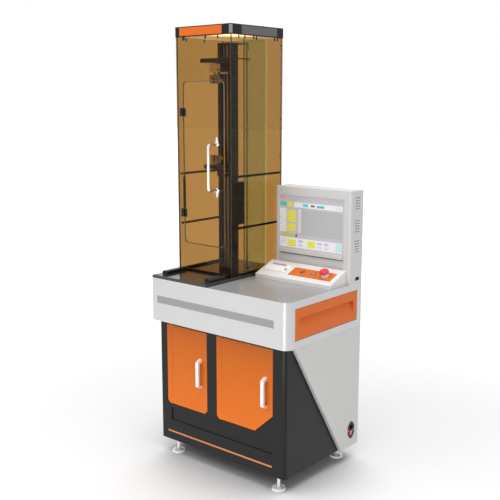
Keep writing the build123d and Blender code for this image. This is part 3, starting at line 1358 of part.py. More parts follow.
def power_inlet():
    """Mains inlet: flange with pointed ends, socket with three pins, window of the switch."""
    middle = INLET_BOTTOM + INLET_HIGH / 2
    half_wide, half_high = INLET_WIDE / 2, INLET_HIGH / 2
    shoulder = half_high * INLET_SHOULDER
    socket = middle + INLET_BODY_HIGH / 4
    outer = WIDTH + INLET_FLANGE
    with BuildPart() as inlet:
        with BuildSketch(facing_right(outer)):
            with Locations((INLET_MIDDLE, middle)):
                Polygon(
                    (-half_wide, -shoulder), (-half_wide / 3, -half_high),
                    (half_wide / 3, -half_high), (half_wide, -shoulder),
                    (half_wide, shoulder), (half_wide / 3, half_high),
                    (-half_wide / 3, half_high), (-half_wide, shoulder), align=None,
                )
        extrude(amount=-INLET_FLANGE)
        with BuildSketch(facing_right(WIDTH)):
            inlet_body_outline(0)
        extrude(amount=-INLET_DEEP)
        with BuildSketch(facing_right(outer)):
            with Locations((INLET_MIDDLE, socket)):
                Rectangle(INLET_BODY_WIDE - 2 * SOCKET_MARGIN, INLET_BODY_HIGH / 3)
            with Locations((INLET_MIDDLE, rocker_middle())):
                Rectangle(ROCKER_WIDE + 2 * SEAT, ROCKER_HIGH + 2 * SEAT)
        extrude(amount=-INLET_DEEP / 2, mode=Mode.SUBTRACT)
        with BuildSketch(facing_right(outer - INLET_DEEP / 2)):
            with Locations((INLET_MIDDLE - PIN_PITCH, socket), (INLET_MIDDLE + PIN_PITCH, socket),
                           (INLET_MIDDLE, socket + PIN_HIGH)):
                Rectangle(PIN_WIDE, PIN_HIGH)
        extrude(amount=INLET_DEEP / 3)
    save(inlet, "power_inlet")


def power_rocker():
    """Rocker of the mains switch, at rest tipped to one side, on two stub pins."""
    reach = ROCKER_LOBE * cos(radians(ROCKER_TILT)) + ROCKER_HALF * sin(radians(ROCKER_TILT))
    side = INLET_MIDDLE - ROCKER_WIDE / 2
    pivot = (x_at(WIDTH + SWITCH_REACH - reach), y_at(side), rocker_middle())
    tilt = radians(ROCKER_TILT)
    tipped = Plane(origin=pivot, x_dir=(cos(tilt), 0, -sin(tilt)), z_dir=(0, -1, 0))
    with BuildPart() as rocker:
        with BuildSketch(tipped):
            Polygon(
                (ROCKER_LOBE, ROCKER_HALF), (ROCKER_LOBE * ROCKER_DIP, 0), (ROCKER_LOBE, -ROCKER_HALF),
                (-ROCKER_LOBE, -ROCKER_HALF), (-2 * ROCKER_LOBE, 0), (-ROCKER_LOBE, ROCKER_HALF),
                align=None,
            )
        extrude(amount=-ROCKER_WIDE)
    save(rocker, "power_rocker")


def drawer():
    """Side drawer: thick coloured face with a sloped grip recess, and an open box behind it."""
    back = WIDTH - DRAWER_FACE_THICK
    box_front, box_back = DRAWER_FRONT_Y + RUNNER_WIDE, DRAWER_BACK_Y - RUNNER_WIDE
    low = DRAWER_BOTTOM + RUNNER_WIDE
    with BuildPart() as tray:
        with BuildSketch(facing_right(WIDTH)):
            drawer_outline(0)
        extrude(amount=-DRAWER_FACE_THICK)
        fillet(tray.faces().sort_by(Axis.X)[-1].edges(), radius=DRAWER_GAP)
        with BuildSketch(facing_front(GRIP_FRONT_Y)):
            Polygon((WIDTH, GRIP_BOTTOM), (WIDTH - GRIP_DEEP, GRIP_TOP), (WIDTH, GRIP_TOP), align=None)
        extrude(amount=GRIP_FRONT_Y - GRIP_BACK_Y, mode=Mode.SUBTRACT)
        with BuildSketch(seen_from_above(low)):
            span((back - DRAWER_DEEP, box_front), (back, box_back))
        extrude(amount=DRAWER_BOX_HIGH)
        with BuildSketch(seen_from_above(low + DRAWER_WALL)):
            span((back - DRAWER_DEEP + DRAWER_WALL, box_front + DRAWER_WALL),
                 (back, box_back - DRAWER_WALL))
        extrude(amount=DRAWER_BOX_HIGH, mode=Mode.SUBTRACT)
    save(tray, "drawer")


def drawer_runners():
    """Two runners on the deck's floor, each a web with a ledge under the drawer's box."""
    floor = DECK_BOTTOM + SHEET
    ledge = DRAWER_BOTTOM + RUNNER_WIDE - SEAT
    start = WIDTH - DRAWER_FACE_THICK - SEAT
    with BuildPart() as runners:
        for side, turn in ((DRAWER_FRONT_Y + RUNNER_WIDE, 1), (DRAWER_BACK_Y - RUNNER_WIDE, -1)):
            web = side - turn * (SEAT + SHEET)
            with BuildSketch(facing_right(start)):
                span((web, floor), (web + turn * SHEET, ledge + RUNNER_WIDE))
                span((web, floor), (web - turn * SHEET * 2, floor + SHEET))
                span((web, ledge - SHEET), (side + turn * RUNNER_WIDE, ledge))
            extrude(amount=-DRAWER_DEEP)
    save(runners, "drawer_runners")


def controller_box():
    """Electronics box on the cabinet's floor behind the mains inlet, hollow, with cooling slots."""
    pitch = (CONTROLLER_RIGHT - CONTROLLER_LEFT) / COOLING_PITCHES
    low = FOOT_HEIGHT + SHEET
    with BuildPart() as box:
        with BuildSketch(seen_from_above(low)):
            span((CONTROLLER_LEFT, CONTROLLER_FRONT), (CONTROLLER_RIGHT, CONTROLLER_BACK))
        extrude(amount=CONTROLLER_HIGH)
        fillet(box.edges().filter_by(Axis.Z), radius=SHEET)
        with BuildSketch(seen_from_above(low + SHEET)):
            span((CONTROLLER_LEFT + SHEET, CONTROLLER_FRONT + SHEET),
                 (CONTROLLER_RIGHT - SHEET, CONTROLLER_BACK - SHEET))
        extrude(amount=CONTROLLER_HIGH - 2 * SHEET, mode=Mode.SUBTRACT)
        middle = (CONTROLLER_LEFT + CONTROLLER_RIGHT) / 2
        with BuildSketch(facing_front(CONTROLLER_FRONT)):
            with Locations((middle, low + CONTROLLER_HIGH / 2)):
                with GridLocations(pitch, 0, COOLING_SLOTS, 1):
                    SlotOverall(CONTROLLER_HIGH / 2, pitch / 2, rotation=90)
        extrude(amount=-SHEET, mode=Mode.SUBTRACT)
    save(box, "controller_box")


def levelling_feet():
    """Four levelling feet: round pad, stud and lock nut under the cabinet's floor."""
    with BuildPart() as feet:
        for foot_x in FOOT_XS:
            for foot_y in FOOT_YS:
                place = (x_at(foot_x), y_at(foot_y), 0)
                with BuildSketch(Plane(origin=place, x_dir=(1, 0, 0), z_dir=(0, -1, 0))):
                    Polygon(
                        (0, 0), (PAD_RADIUS, 0), (PAD_RADIUS, PAD_HIGH / 2),
                        (LEVEL_RADIUS * 2, PAD_HIGH), (LEVEL_RADIUS, PAD_HIGH),
                        (LEVEL_RADIUS, FOOT_HEIGHT), (0, FOOT_HEIGHT), align=None,
                    )
                revolve(axis=Axis(place, (0, 0, 1)))
                with BuildSketch(seen_from_above(FOOT_HEIGHT)):
                    with Locations((foot_x, foot_y)):
                        RegularPolygon(NUT_ACROSS / 2, 6, major_radius=False)
                extrude(amount=-NUT_HIGH)
    save(feet, "levelling_feet")


os.makedirs("parts", exist_ok=True)
cabinet_shell()
front_frame()
accent_strip()
for door_side, side_word in enumerate(("left", "right")):
    cabinet_door(door_side, f"{side_word}_door")
    door_pull(door_side, f"{side_word}_pull")
cabinet_pivots()
side_panel()
deck_housing()
stripe_inlay()
worktop()
base_plate()
fixture_rails()
drive_pedestal()
drive_motor()
column()
screw_bearings()
guide_rods()
drive_screw()
carriage()
arm(UPPER_ARM_BOTTOM, UPPER_ARM_FRONT, COLUMN_FRONT - CARRIAGE_GAP, "crosshead_arm", finger=True)
arm(LOWER_ARM_BOTTOM, LOWER_ARM_FRONT, COLUMN_FRONT, "lower_arm", finger=False)
load_cell()
grip_body(UPPER_GRIP_ROOT, False, "upper_grip")
grip_jaw(UPPER_GRIP_ROOT, False, "upper_jaw")
grip_body(LOWER_GRIP_ROOT, True, "lower_grip")
grip_jaw(LOWER_GRIP_ROOT, True, "lower_jaw")
limit_rod()
amplifier_box()
guard_front()
guard_sides()
guard_back()
guard_braces()
guard_hatch()
hatch_handle()
hinge_fixed_leaves()
hinge_hatch_leaves()
cap_frame()
cap_insert(facing_front(CAP_FRONT), INSERT_LEFT, INSERT_RIGHT, "cap_front_insert")
cap_insert(facing_right(CAP_RIGHT), INSERT_FRONT, INSERT_BACK, "cap_side_insert")
cap_clip()
cap_light()
console_housing()
usb_port()
touch_screen()
console_desk()
keypad_plate()
push_button(BUTTON_XS[0], "start_button")
push_button(BUTTON_XS[1], "stop_button")
estop_collar()
estop_head()
printer_body()
printer_lid()
power_inlet()
power_rocker()
drawer()
drawer_runners()
controller_box()
levelling_feet()
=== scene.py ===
"""Looks of the floor-standing universal testing machine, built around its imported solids."""

import json
import logging
from dataclasses import dataclass
from enum import Enum
from typing import Optional

import bpy
import numpy as np
from bpy.types import Material, Node, NodeOutputs, NodeSocket, NodeTree, Object
from mathutils import Matrix, Vector


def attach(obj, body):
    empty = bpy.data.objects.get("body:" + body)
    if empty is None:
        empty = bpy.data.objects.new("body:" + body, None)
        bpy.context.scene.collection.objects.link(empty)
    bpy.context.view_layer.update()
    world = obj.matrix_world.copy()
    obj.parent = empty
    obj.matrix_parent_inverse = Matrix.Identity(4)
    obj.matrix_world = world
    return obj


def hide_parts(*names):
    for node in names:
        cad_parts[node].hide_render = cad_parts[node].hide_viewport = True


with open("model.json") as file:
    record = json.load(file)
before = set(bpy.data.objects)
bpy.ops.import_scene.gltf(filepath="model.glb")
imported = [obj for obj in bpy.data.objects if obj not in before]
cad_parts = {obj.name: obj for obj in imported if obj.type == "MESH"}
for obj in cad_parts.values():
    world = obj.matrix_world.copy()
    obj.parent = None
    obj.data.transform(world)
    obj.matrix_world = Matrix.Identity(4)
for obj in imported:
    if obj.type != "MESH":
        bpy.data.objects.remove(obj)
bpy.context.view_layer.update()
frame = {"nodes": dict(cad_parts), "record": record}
log = logging.getLogger("testing_machine")

MM = 0.001
TURN = 2 * np.pi
LEFT, FRONT = -364.8, -235.0
DESK_FOOT = (0.0, 293.0, 775.0)
DESK_SLOPE = float(np.arctan2(43, 113))
DOOR_TOP, DOOR_BOTTOM = 0.571, 0.224
SHADE_POWER = 0.45
SHARP_ANGLE = 0.7
RING_STEPS, BEAD_STEPS = 40, 10
WHITE = (1.0, 1.0, 1.0, 1.0)
DUST = (0.42, 0.40, 0.37, 1.0)
BARE_METAL = (0.62, 0.61, 0.60, 1.0)
Color = tuple[float, float, float]
Point = tuple[float, float, float]


def place(across: float, back: float, up: float) -> np.ndarray:
    """A point in metres from millimetres counted from the deck's front left corner."""
    return np.array([LEFT + across, FRONT + back, up]) * MM


def ink(red: int, green: int, blue: int) -> Color:
    """A linear colour from screen values of 0 to 255: each value is raised to the screen's power."""
    share = np.array([red, green, blue]) / 255
    return tuple(np.where(share <= 0.04045, share / 12.92, ((share + 0.055) / 1.055) ** 2.4).tolist())


class Direction(Enum):
    """Way in which a brushed or drawn metal's lines run, as a stretch of the noise."""

    ACROSS = (3.0, 220.0, 220.0)
    UP = (220.0, 220.0, 3.0)
    NONE = (90.0, 90.0, 90.0)


class Side(Enum):
    """Faces that flat details lie on: the way across, the way up, and the way out of the face."""

    FRONT = ((1, 0, 0), (0, 0, 1), (0, -1, 0))
    RIGHT = ((0, 1, 0), (0, 0, 1), (1, 0, 0))
    DESK = ((1, 0, 0), (0, float(np.cos(DESK_SLOPE)), float(np.sin(DESK_SLOPE))),
            (0, float(-np.sin(DESK_SLOPE)), float(np.cos(DESK_SLOPE))))

    def start(self, out: float) -> np.ndarray:
        """The point that the face's own coordinates count from, in metres.

        Args:
            out: place of the face along its way out, in millimetres from the deck's front left
                corner, or for the desk from its sheet.

        Returns:
            The point.
        """
        away = np.array(self.value[2])
        if self is Side.DESK:
            return place(*DESK_FOOT) + out * MM * away
        return place(0, 0, 0) + np.abs(away) * out * MM

    def point(self, across: float, up: float, out: float) -> np.ndarray:
        """A point over the face: start + across x the way across + up x the way up."""
        return self.start(out) + MM * (across * np.array(self.value[0]) + up * np.array(self.value[1]))


FORWARD = np.array([0.0, -1.0, 0.0])
RIGHT = np.array([1.0, 0.0, 0.0])
UP = np.array([0.0, 0.0, 1.0])
DESK_OUT = np.array(Side.DESK.value[2])


class Graph:
    """Short calls that add and join the nodes of one world, node group or material."""

    def __init__(self, tree: NodeTree) -> None:
        """Keeps the tree that the nodes go into."""
        self.tree = tree

    def feed(self, node: Node, inputs: dict) -> Node:
        """Fills a node's inputs.

        Args:
            node: the node.
            inputs: socket name or number to a plain value or to a socket to join.

        Returns:
            The node.
        """
        for key, value in inputs.items():
            if isinstance(value, NodeSocket):
                self.tree.links.new(value, node.inputs[key])
            else:
                node.inputs[key].default_value = value
        return node

    def add(self, kind: str, inputs: Optional[dict] = None, **settings: object) -> Node:
        """Adds a node.

        Args:
            kind: Blender's name of the node type, without "ShaderNode".
            inputs: socket name or number to a plain value or to a socket to join.
            settings: properties of the node.

        Returns:
            The new node.
        """
        node = self.tree.nodes.new(kind if kind.startswith("NodeGroup") else "ShaderNode" + kind)
        for key, value in settings.items():
            setattr(node, key, value)
        return self.feed(node, inputs or {})

    def math(self, operation: str, first: object, second: object,
             clamp: bool = False) -> NodeSocket:
        """Adds a Math node and returns its result, which clamp keeps within 0 to 1."""
        return self.add("Math", {0: first, 1: second}, operation=operation, use_clamp=clamp).outputs[0]

    def blend(self, share: object, first: object, second: object) -> NodeSocket:
        """Mixes two colours by a share and returns the socket with the result."""
        return self.add("Mix", {0: share, 6: first, 7: second}, data_type="RGBA").outputs[2]

    def tone(self, color: object, value: object) -> NodeSocket:
        """A colour made darker or lighter by a factor."""
        return self.add("HueSaturation", {"Color": color, "Value": value}).outputs[0]

    def where(self) -> NodeSocket:
        """The place on the object, in its own coordinates."""
        return self.add("TexCoord").outputs["Object"]

    def noise(self, spot: NodeSocket, scale: object, detail: float) -> NodeSocket:
        """Noise of 0 to 1 at a place."""
        return self.add("TexNoise", {"Vector": spot, "Scale": scale, "Detail": detail}).outputs[0]


class MaterialGraph(Graph):
    """The graph of a new material, which starts with its Principled shader."""

    def __init__(self, name: str) -> None:
        """Makes the material."""
        self.material = bpy.data.materials.new(name)
        self.material.use_nodes = True
        super().__init__(self.material.node_tree)
        self.shader = self.tree.nodes["Principled BSDF"]

    def show(self, node: Node) -> None:
        """Makes a shader node the material's surface."""
        self.feed(self.tree.nodes["Material Output"], {"Surface": node.outputs[0]})


class Effects:
    """The node groups that several finishes share. They put out colours, values and normals."""

    def __init__(self) -> None:
        """Builds each group once."""
        self.grain = self._grain()
        self.wear_and_sheen = self._wear_and_sheen()
        self.dust = self._dust()
        self.brush = self._brush()

    @staticmethod
    def _group(name: str, sockets: str, results: str) -> tuple[Graph, NodeOutputs, Node]:
        """Starts a group. Sockets called Color hold colours, Stretch and Normal vectors, all others values.

        Args:
            name: the group's name.
            sockets: names of its inputs, with spaces between.
            results: names of its outputs, with spaces between.

        Returns:
            The group's graph, the sockets that its inputs come in by, and its output node.
        """
        kinds = {"Color": "Color", "Stretch": "Vector", "Normal": "Vector"}
        tree = bpy.data.node_groups.new(name, "ShaderNodeTree")
        for way, labels in (("INPUT", sockets), ("OUTPUT", results)):
            for label in labels.split():
                kind = "NodeSocket" + kinds.get(label, "Float")
                tree.interface.new_socket(label, in_out=way, socket_type=kind)
        graph = Graph(tree)
        return graph, graph.add("NodeGroupInput").outputs, graph.add("NodeGroupOutput")

    def _grain(self) -> NodeTree:
        """Orange peel of paint or grain of moulded plastic, with a slow drift of tone and gloss."""
        g, given, result = self._group("fine_grain", "Color Drift Scale Depth Roughness Spread",
                                       "Color Roughness Normal")
        where = g.where()
        fine = g.noise(where, given["Scale"], 3.0)
        drift = g.math("SUBTRACT", g.noise(where, 7.0, 4.0), 0.5)
        tone = g.math("ADD", g.math("MULTIPLY", drift, given["Drift"]), 1.0)
        gloss = g.math("ADD", given["Roughness"], g.math("MULTIPLY", drift, given["Spread"]), clamp=True)
        bump = g.add("Bump", {"Strength": given["Depth"], "Distance": 0.0003, "Height": fine})
        color = g.tone(given["Color"], tone)
        g.feed(result, {"Color": color, "Roughness": gloss, "Normal": bump.outputs[0]})
        return g.tree

    def _wear_and_sheen(self) -> NodeTree:
        """Mask of edges: where a rounded normal leaves the true one, broken up by noise. It marks rubbed
        edges, and on the base plate a painted highlight along its chamfers.
        """
        g, given, result = self._group("edge_wear_and_sheen", "Width Amount", "Mask")
        soft = g.add("Bevel", {"Radius": given["Width"]}, samples=4)
        true = g.add("NewGeometry").outputs["Normal"]
        match = g.add("VectorMath", {0: soft.outputs[0], 1: true}, operation="DOT_PRODUCT")
        turned_away = g.math("SUBTRACT", 1.0, match.outputs["Value"])
        broken = g.math("MULTIPLY", turned_away, g.math("POWER", g.noise(g.where(), 45.0, 5.0), 2.0))
        g.feed(result, {"Mask": g.math("MULTIPLY", broken, given["Amount"], clamp=True)})
        return g.tree

    def _dust(self) -> NodeTree:
        """Mask of thin dust on faces that look up, thicker in soft patches."""
        g, given, result = self._group("thin_dust", "Amount", "Mask")
        up = g.add("SeparateXYZ", {0: g.add("NewGeometry").outputs["Normal"]}).outputs[2]
        flat = g.add("MapRange", {"Value": up, "From Min": 0.75, "From Max": 1.0}).outputs[0]
        patches = g.math("MULTIPLY", flat, g.noise(g.where(), 16.0, 6.0))
        g.feed(result, {"Mask": g.math("MULTIPLY", patches, given["Amount"], clamp=True)})
        return g.tree

    def _brush(self) -> NodeTree:
        """Fine drawn lines: noise stretched along one way, as roughness and as a normal."""
        g, given, result = self._group("brushed_lines", "Stretch Depth Roughness Spread",
                                       "Roughness Normal")
        scaled = g.add("VectorMath", {0: g.where(), 1: given["Stretch"]}, operation="MULTIPLY")
        lines = g.noise(scaled.outputs[0], 6.0, 4.0)
        change = g.math("MULTIPLY", g.math("SUBTRACT", lines, 0.5), given["Spread"])
        gloss = g.math("ADD", given["Roughness"], change, clamp=True)
        bump = g.add("Bump", {"Strength": given["Depth"], "Distance": 0.0001, "Height": lines})
        g.feed(result, {"Roughness": gloss, "Normal": bump.outputs[0]})
        return g.tree


@dataclass(frozen=True)
class Finish:
    """What every finish has: its name, its colour and how rough it is."""

    name: str
    color: Color
    roughness: float = 0.4

    def make(self, effects: Effects) -> Material:
        """Makes the material: plain colour and roughness, then what its kind of finish adds.

        Args:
            effects: the shared node groups.

        Returns:
            The material.
        """
        g = MaterialGraph(self.name)
        g.feed(g.shader, {"Base Color": (*self.color, 1.0), "Roughness": self.roughness})
        self.fill(g, effects)
        return g.material

    def fill(self, g: MaterialGraph, effects: Effects) -> None:
        """Leaves the material plain. Each kind of finish has its own."""

    def group(self, g: Graph, tree: NodeTree, **values: object) -> NodeOutputs:
        """Adds a shared group with its own values and returns its results."""
        inputs = {label.title(): value for label, value in values.items()}
        return g.feed(g.add("Group", node_tree=tree), inputs).outputs

    def grained(self, g: Graph, effects: Effects, **values: float) -> NodeOutputs:
        """Adds the shared grain in the finish's own colour and roughness and returns its results."""
        return self.group(g, effects.grain, color=(*self.color, 1.0), roughness=self.roughness, **values)


@dataclass(frozen=True)
class Paint(Finish):
    """Baked paint or moulded plastic: grain, drift of tone, rubbed edges, thin dust, painted highlights on
    the base plate's edges and painted shade on the doors.
    """

    drift: float = 0.05
    grain: float = 900.0
    depth: float = 0.12
    spread: float = 0.12
    coat: float = 0.0
    coat_roughness: float = 0.08
    wear_and_sheen: float = 1.2
    wear_width: float = 0.0012
    wear_and_sheen_color: Color = (0.5, 0.5, 0.5)
    dust: float = 0.05
    specular: float = 0.5
    painted_shade: float = 0.0

    def add_painted_shade(self, g: Graph, color: NodeSocket) -> NodeSocket:
        """Paints shade on a door: its colour is darkest just below the deck and clears towards the floor.

        Tone = 1 - painted_shade x (1 - share of the way down the door to the power of 0.45).

        Args:
            g: the material's graph.
            color: the colour in the open.

        Returns:
            The socket with the colour.
        """
        up = g.add("SeparateXYZ", {0: g.where()}).outputs[2]
        down = g.add("MapRange", {"Value": up, "From Min": DOOR_TOP, "From Max": DOOR_BOTTOM}).outputs[0]
        share = g.math("POWER", down, SHADE_POWER)
        return g.tone(color, g.add("MapRange", {"Value": share, "To Min": 1.0 - self.painted_shade}).outputs[0])

    def fill(self, g: MaterialGraph, effects: Effects) -> None:
        """Joins grain, rubbed edges and painted edge highlights, dust and painted shade to the shader.

        Args:
            g: the material's graph.
            effects: the shared node groups.
        """
        grain = self.grained(g, effects, drift=self.drift, scale=self.grain, depth=self.depth,
                             spread=self.spread)
        wear_and_sheen = self.group(g, effects.wear_and_sheen, width=self.wear_width, amount=self.wear_and_sheen)
        dust = self.group(g, effects.dust, amount=self.dust)
        rubbed_and_sheened = g.blend(wear_and_sheen["Mask"], grain["Color"], (*self.wear_and_sheen_color, 1.0))
        color = g.blend(dust["Mask"], rubbed_and_sheened, DUST)
        # Painted shade: the doors darken towards the deck above them.
        if self.painted_shade:
            color = self.add_painted_shade(g, color)
        g.feed(g.shader, {
            "Base Color": color, "Roughness": grain["Roughness"], "Normal": grain["Normal"],
            "Coat Weight": self.coat, "Coat Roughness": self.coat_roughness,
            "Specular IOR Level": self.specular})


@dataclass(frozen=True)
class Metal(Finish):
    """Bare, plated or anodised metal with drawn lines."""

    lines: Direction = Direction.NONE
    drift: float = 0.12
    depth: float = 0.15
    spread: float = 0.12
    metallic: float = 1.0
    wear_and_sheen: float = 0.0
    wear_width: float = 0.0008
    specular: float = 0.5

    def fill(self, g: MaterialGraph, effects: Effects) -> None:
        """Joins the drawn lines, a slow drift of tone and rubbed edges to the shader.

        Args:
            g: the material's graph.
            effects: the shared node groups.
        """
        brush = self.group(g, effects.brush, stretch=self.lines.value, depth=self.depth,
                           roughness=self.roughness, spread=self.spread)
        grain = self.grained(g, effects, drift=self.drift, scale=60.0, depth=0.0, spread=0.0)
        wear_and_sheen = self.group(g, effects.wear_and_sheen, width=self.wear_width, amount=self.wear_and_sheen)
        g.feed(g.shader, {
            "Base Color": g.blend(wear_and_sheen["Mask"], grain["Color"], BARE_METAL),
            "Roughness": brush["Roughness"], "Normal": brush["Normal"],
            "Metallic": self.metallic, "Specular IOR Level": self.specular})


@dataclass(frozen=True)
class Acrylic(Finish):
    """Clear tinted acrylic. Light that casts shadows goes straight through in its own tint.

    A sheet that stands in the given range across has the second colour.
    """

    veil: Color = (0.8, 0.7, 0.55)
    second: Color = (0.8, 0.7, 0.55)
    between: tuple[float, float] = (9.0, 9.1)
    refraction: float = 1.22
    drift: float = 0.03

    def fill(self, g: MaterialGraph, effects: Effects) -> None:
        """Mixes the refracting shader with a clear tint for shadow and diffuse rays.

        Args:
            g: the material's graph.
            effects: the shared node groups.
        """
        grain = self.grained(g, effects, drift=self.drift, scale=9.0, depth=0.0, spread=0.0)
        across = g.add("SeparateXYZ", {0: g.where()}).outputs[0]
        inside = g.math("MULTIPLY", g.math("GREATER_THAN", across, self.between[0]),
                        g.math("LESS_THAN", across, self.between[1]))
        g.feed(g.shader, {
            "Base Color": g.blend(inside, grain["Color"], (*self.second, 1.0)),
            "Roughness": grain["Roughness"], "Transmission Weight": 1.0, "IOR": self.refraction})
        clear = g.add("BsdfTransparent", {"Color": (*self.veil, 1.0)})
        rays = g.add("LightPath").outputs
        passes = g.math("MAXIMUM", rays["Is Shadow Ray"], rays["Is Diffuse Ray"])
        g.show(g.add("MixShader", {0: passes, 1: g.shader.outputs[0], 2: clear.outputs[0]}))


@dataclass(frozen=True)
class Glow(Finish):
    """Lamp diffuser or lit indicator, brightest at one place and fading with distance from it."""

    strength: float = 2.0
    hot: Point = (0.0, 0.0, 0.0)
    reach: float = 9.0
    faint: float = 1.0
    drift: float = 0.2

    def fill(self, g: MaterialGraph, effects: Effects) -> None:
        """Gives the shader a glow that drifts slightly over the surface.

        Args:
            g: the material's graph.
            effects: the shared node groups.
        """
        grain = self.grained(g, effects, drift=self.drift, scale=200.0, depth=0.05, spread=0.1)
        away = g.add("VectorMath", {0: g.where(), 1: self.hot}, operation="DISTANCE").outputs["Value"]
        fade = g.add("MapRange", {"Value": away, "From Max": self.reach, "To Min": 1.0,
                                  "To Max": self.faint}).outputs[0]
        g.feed(g.shader, {
            "Emission Color": g.tone(grain["Color"], fade), "Emission Strength": self.strength,
            "Roughness": grain["Roughness"]})


@dataclass(frozen=True)
class Display(Finish):
    """Lit display: its colours come from the mesh, crossed by a fine raster of lines."""

    strength: float = 0.5
    coat: float = 0.4

    def fill(self, g: MaterialGraph, effects: Effects) -> None:
        """Reads the mesh's tint attribute into colour and glow.

        Args:
            g: the material's graph.
            effects: the shared node groups.
        """
        tint = g.add("Attribute", attribute_name="tint").outputs["Color"]
        raster = g.add("TexWave", {"Vector": g.where(), "Scale": 260.0}, bands_direction="Z").outputs["Fac"]
        lit = g.tone(tint, g.add("MapRange", {"Value": raster, "To Min": 0.6, "To Max": 0.65}).outputs[0])
        g.feed(g.shader, {
            "Base Color": lit, "Emission Color": lit, "Emission Strength": self.strength,
            "Coat Weight": self.coat})


ORANGE = ink(224, 109, 33)
WORN_ORANGE = (0.85, 0.42, 0.20)
AMBER = ink(209, 177, 125)
FINISHES: dict[str, Finish] = {finish.name: finish for finish in (
    Paint("white_paint", (0.645, 0.645, 0.645), 0.34, coat=0.8, specular=0.3),
    Paint("grey_paint", (0.66, 0.655, 0.645), 0.42, grain=1400.0, depth=0.2),
    Paint("desk_white", (0.8, 0.79, 0.78), 0.4, grain=1400.0, depth=0.15),
    Paint("black_paint", (0.0115, 0.011, 0.0105), 0.42, wear_and_sheen_color=(0.06, 0.06, 0.06), depth=0.2, specular=0.12,
          coat=0.12, dust=0.02),
    Paint("orange_paint", ORANGE, 0.4, wear_and_sheen_color=WORN_ORANGE, specular=0.25, dust=0.02, drift=0.08),
    # Painted shade: this orange darkens just below the deck, in place of the deck's shade on the doors.
    Paint("door_orange_painted_shade", ink(232, 116, 20), 0.4, wear_and_sheen_color=WORN_ORANGE, specular=0.25, dust=0.02, drift=0.08,
          painted_shade=0.5),
    # Painted highlight: the accent strip's orange is lighter than the paint's, in place of the glint on its
    # chamfer.
    Paint("strip_orange_painted_highlight", ink(216, 138, 88), 0.4, wear_and_sheen_color=WORN_ORANGE, specular=0.25),
    Paint("stripe_grey", (0.33, 0.33, 0.34), 0.4),
    Paint("insert_grey", (0.125, 0.125, 0.128), 0.45, specular=0.25),
    Paint("worktop_grey", (0.327, 0.333, 0.346), 0.2, coat=0.25, depth=0.03, dust=0.08),
    # Painted highlight: the base plate's pale edges stand in for the light caught by its chamfers, not for
    # rubbed paint.
    Paint("plate_black", (0.012, 0.012, 0.014), 0.18, wear_and_sheen_color=(0.2, 0.21, 0.23), coat=0.3, depth=0.04,
          dust=0.04, wear_and_sheen=2.5),
    Metal("column_black", (0.012, 0.012, 0.013), 0.36, lines=Direction.UP, metallic=0.0, wear_and_sheen=1.0,
          specular=0.25),
    Acrylic("amber_acrylic", AMBER, 0.0),
    # Painted light: the hatch's amber is a lighter copy of the front sheet's, for the hatch's brighter
    # look.
    Acrylic("hatch_acrylic_painted_light", ink(221, 188, 138), 0.0),
    Acrylic("side_acrylic", ink(197, 171, 122), 0.0),
    Acrylic("rear_acrylic", AMBER, 0.0, second=(0.7, 0.89, 0.84), between=(-0.1498, -0.1428)),
    Glow("lamp", (1.0, 0.91, 0.87), 0.5, strength=4.8, hot=(-0.062, -0.025, 1.753), reach=0.155, faint=0.1),
    Metal("chrome", (0.86, 0.86, 0.86), 0.1, depth=0.03, spread=0.05),
    Metal("satin", (0.66, 0.66, 0.67), 0.3, lines=Direction.UP),
    Metal("steel", (0.3, 0.3, 0.31), 0.34, lines=Direction.UP, wear_and_sheen=0.6),
    Metal("alloy", (0.62, 0.62, 0.63), 0.34, lines=Direction.ACROSS),
    Paint("motor_black", (0.03, 0.03, 0.033), 0.5, wear_and_sheen_color=(0.2, 0.2, 0.2), grain=400.0, depth=0.5),
    Paint("iron", (0.12, 0.12, 0.13), 0.55, wear_and_sheen_color=(0.35, 0.35, 0.35), grain=250.0, depth=0.7),
    Paint("black_plastic", (0.015, 0.015, 0.015), 0.45, wear_and_sheen_color=(0.08, 0.08, 0.08), depth=0.4, specular=0.3,
          dust=0.02),
    Paint("white_plastic", (0.98, 0.975, 0.95), 0.4, depth=0.3, wear_and_sheen_color=(0.6, 0.6, 0.55)),
    Paint("screen_glass", (0.5, 0.5, 0.51), 0.12, coat=0.6, depth=0.0, wear_and_sheen=0.3),
    Paint("red_plastic", (0.78, 0.02, 0.035), 0.25, coat=0.4, wear_and_sheen_color=(0.85, 0.2, 0.18)),
    Paint("green_plastic", (0.06, 0.16, 0.07), 0.3, coat=0.4),
    Display("display", (0.8, 0.8, 0.8), 0.16),
    Glow("lamp_red", (1.0, 0.07, 0.05), 0.25, strength=0.6),
    Paint("paper", (0.85, 0.85, 0.83), 0.8, grain=500.0, depth=0.3, wear_and_sheen=0.0),
    Metal("foot_silver", (0.85, 0.85, 0.86), 0.3, metallic=0.35, depth=0.05),
    Paint("seal", (0.14, 0.1, 0.075), 0.3, wear_and_sheen_color=(0.2, 0.18, 0.16), depth=0.1, dust=0.0),
    Metal("trim", (0.06, 0.058, 0.045), 0.4, lines=Direction.UP, metallic=0.3, specular=0.3),
)}


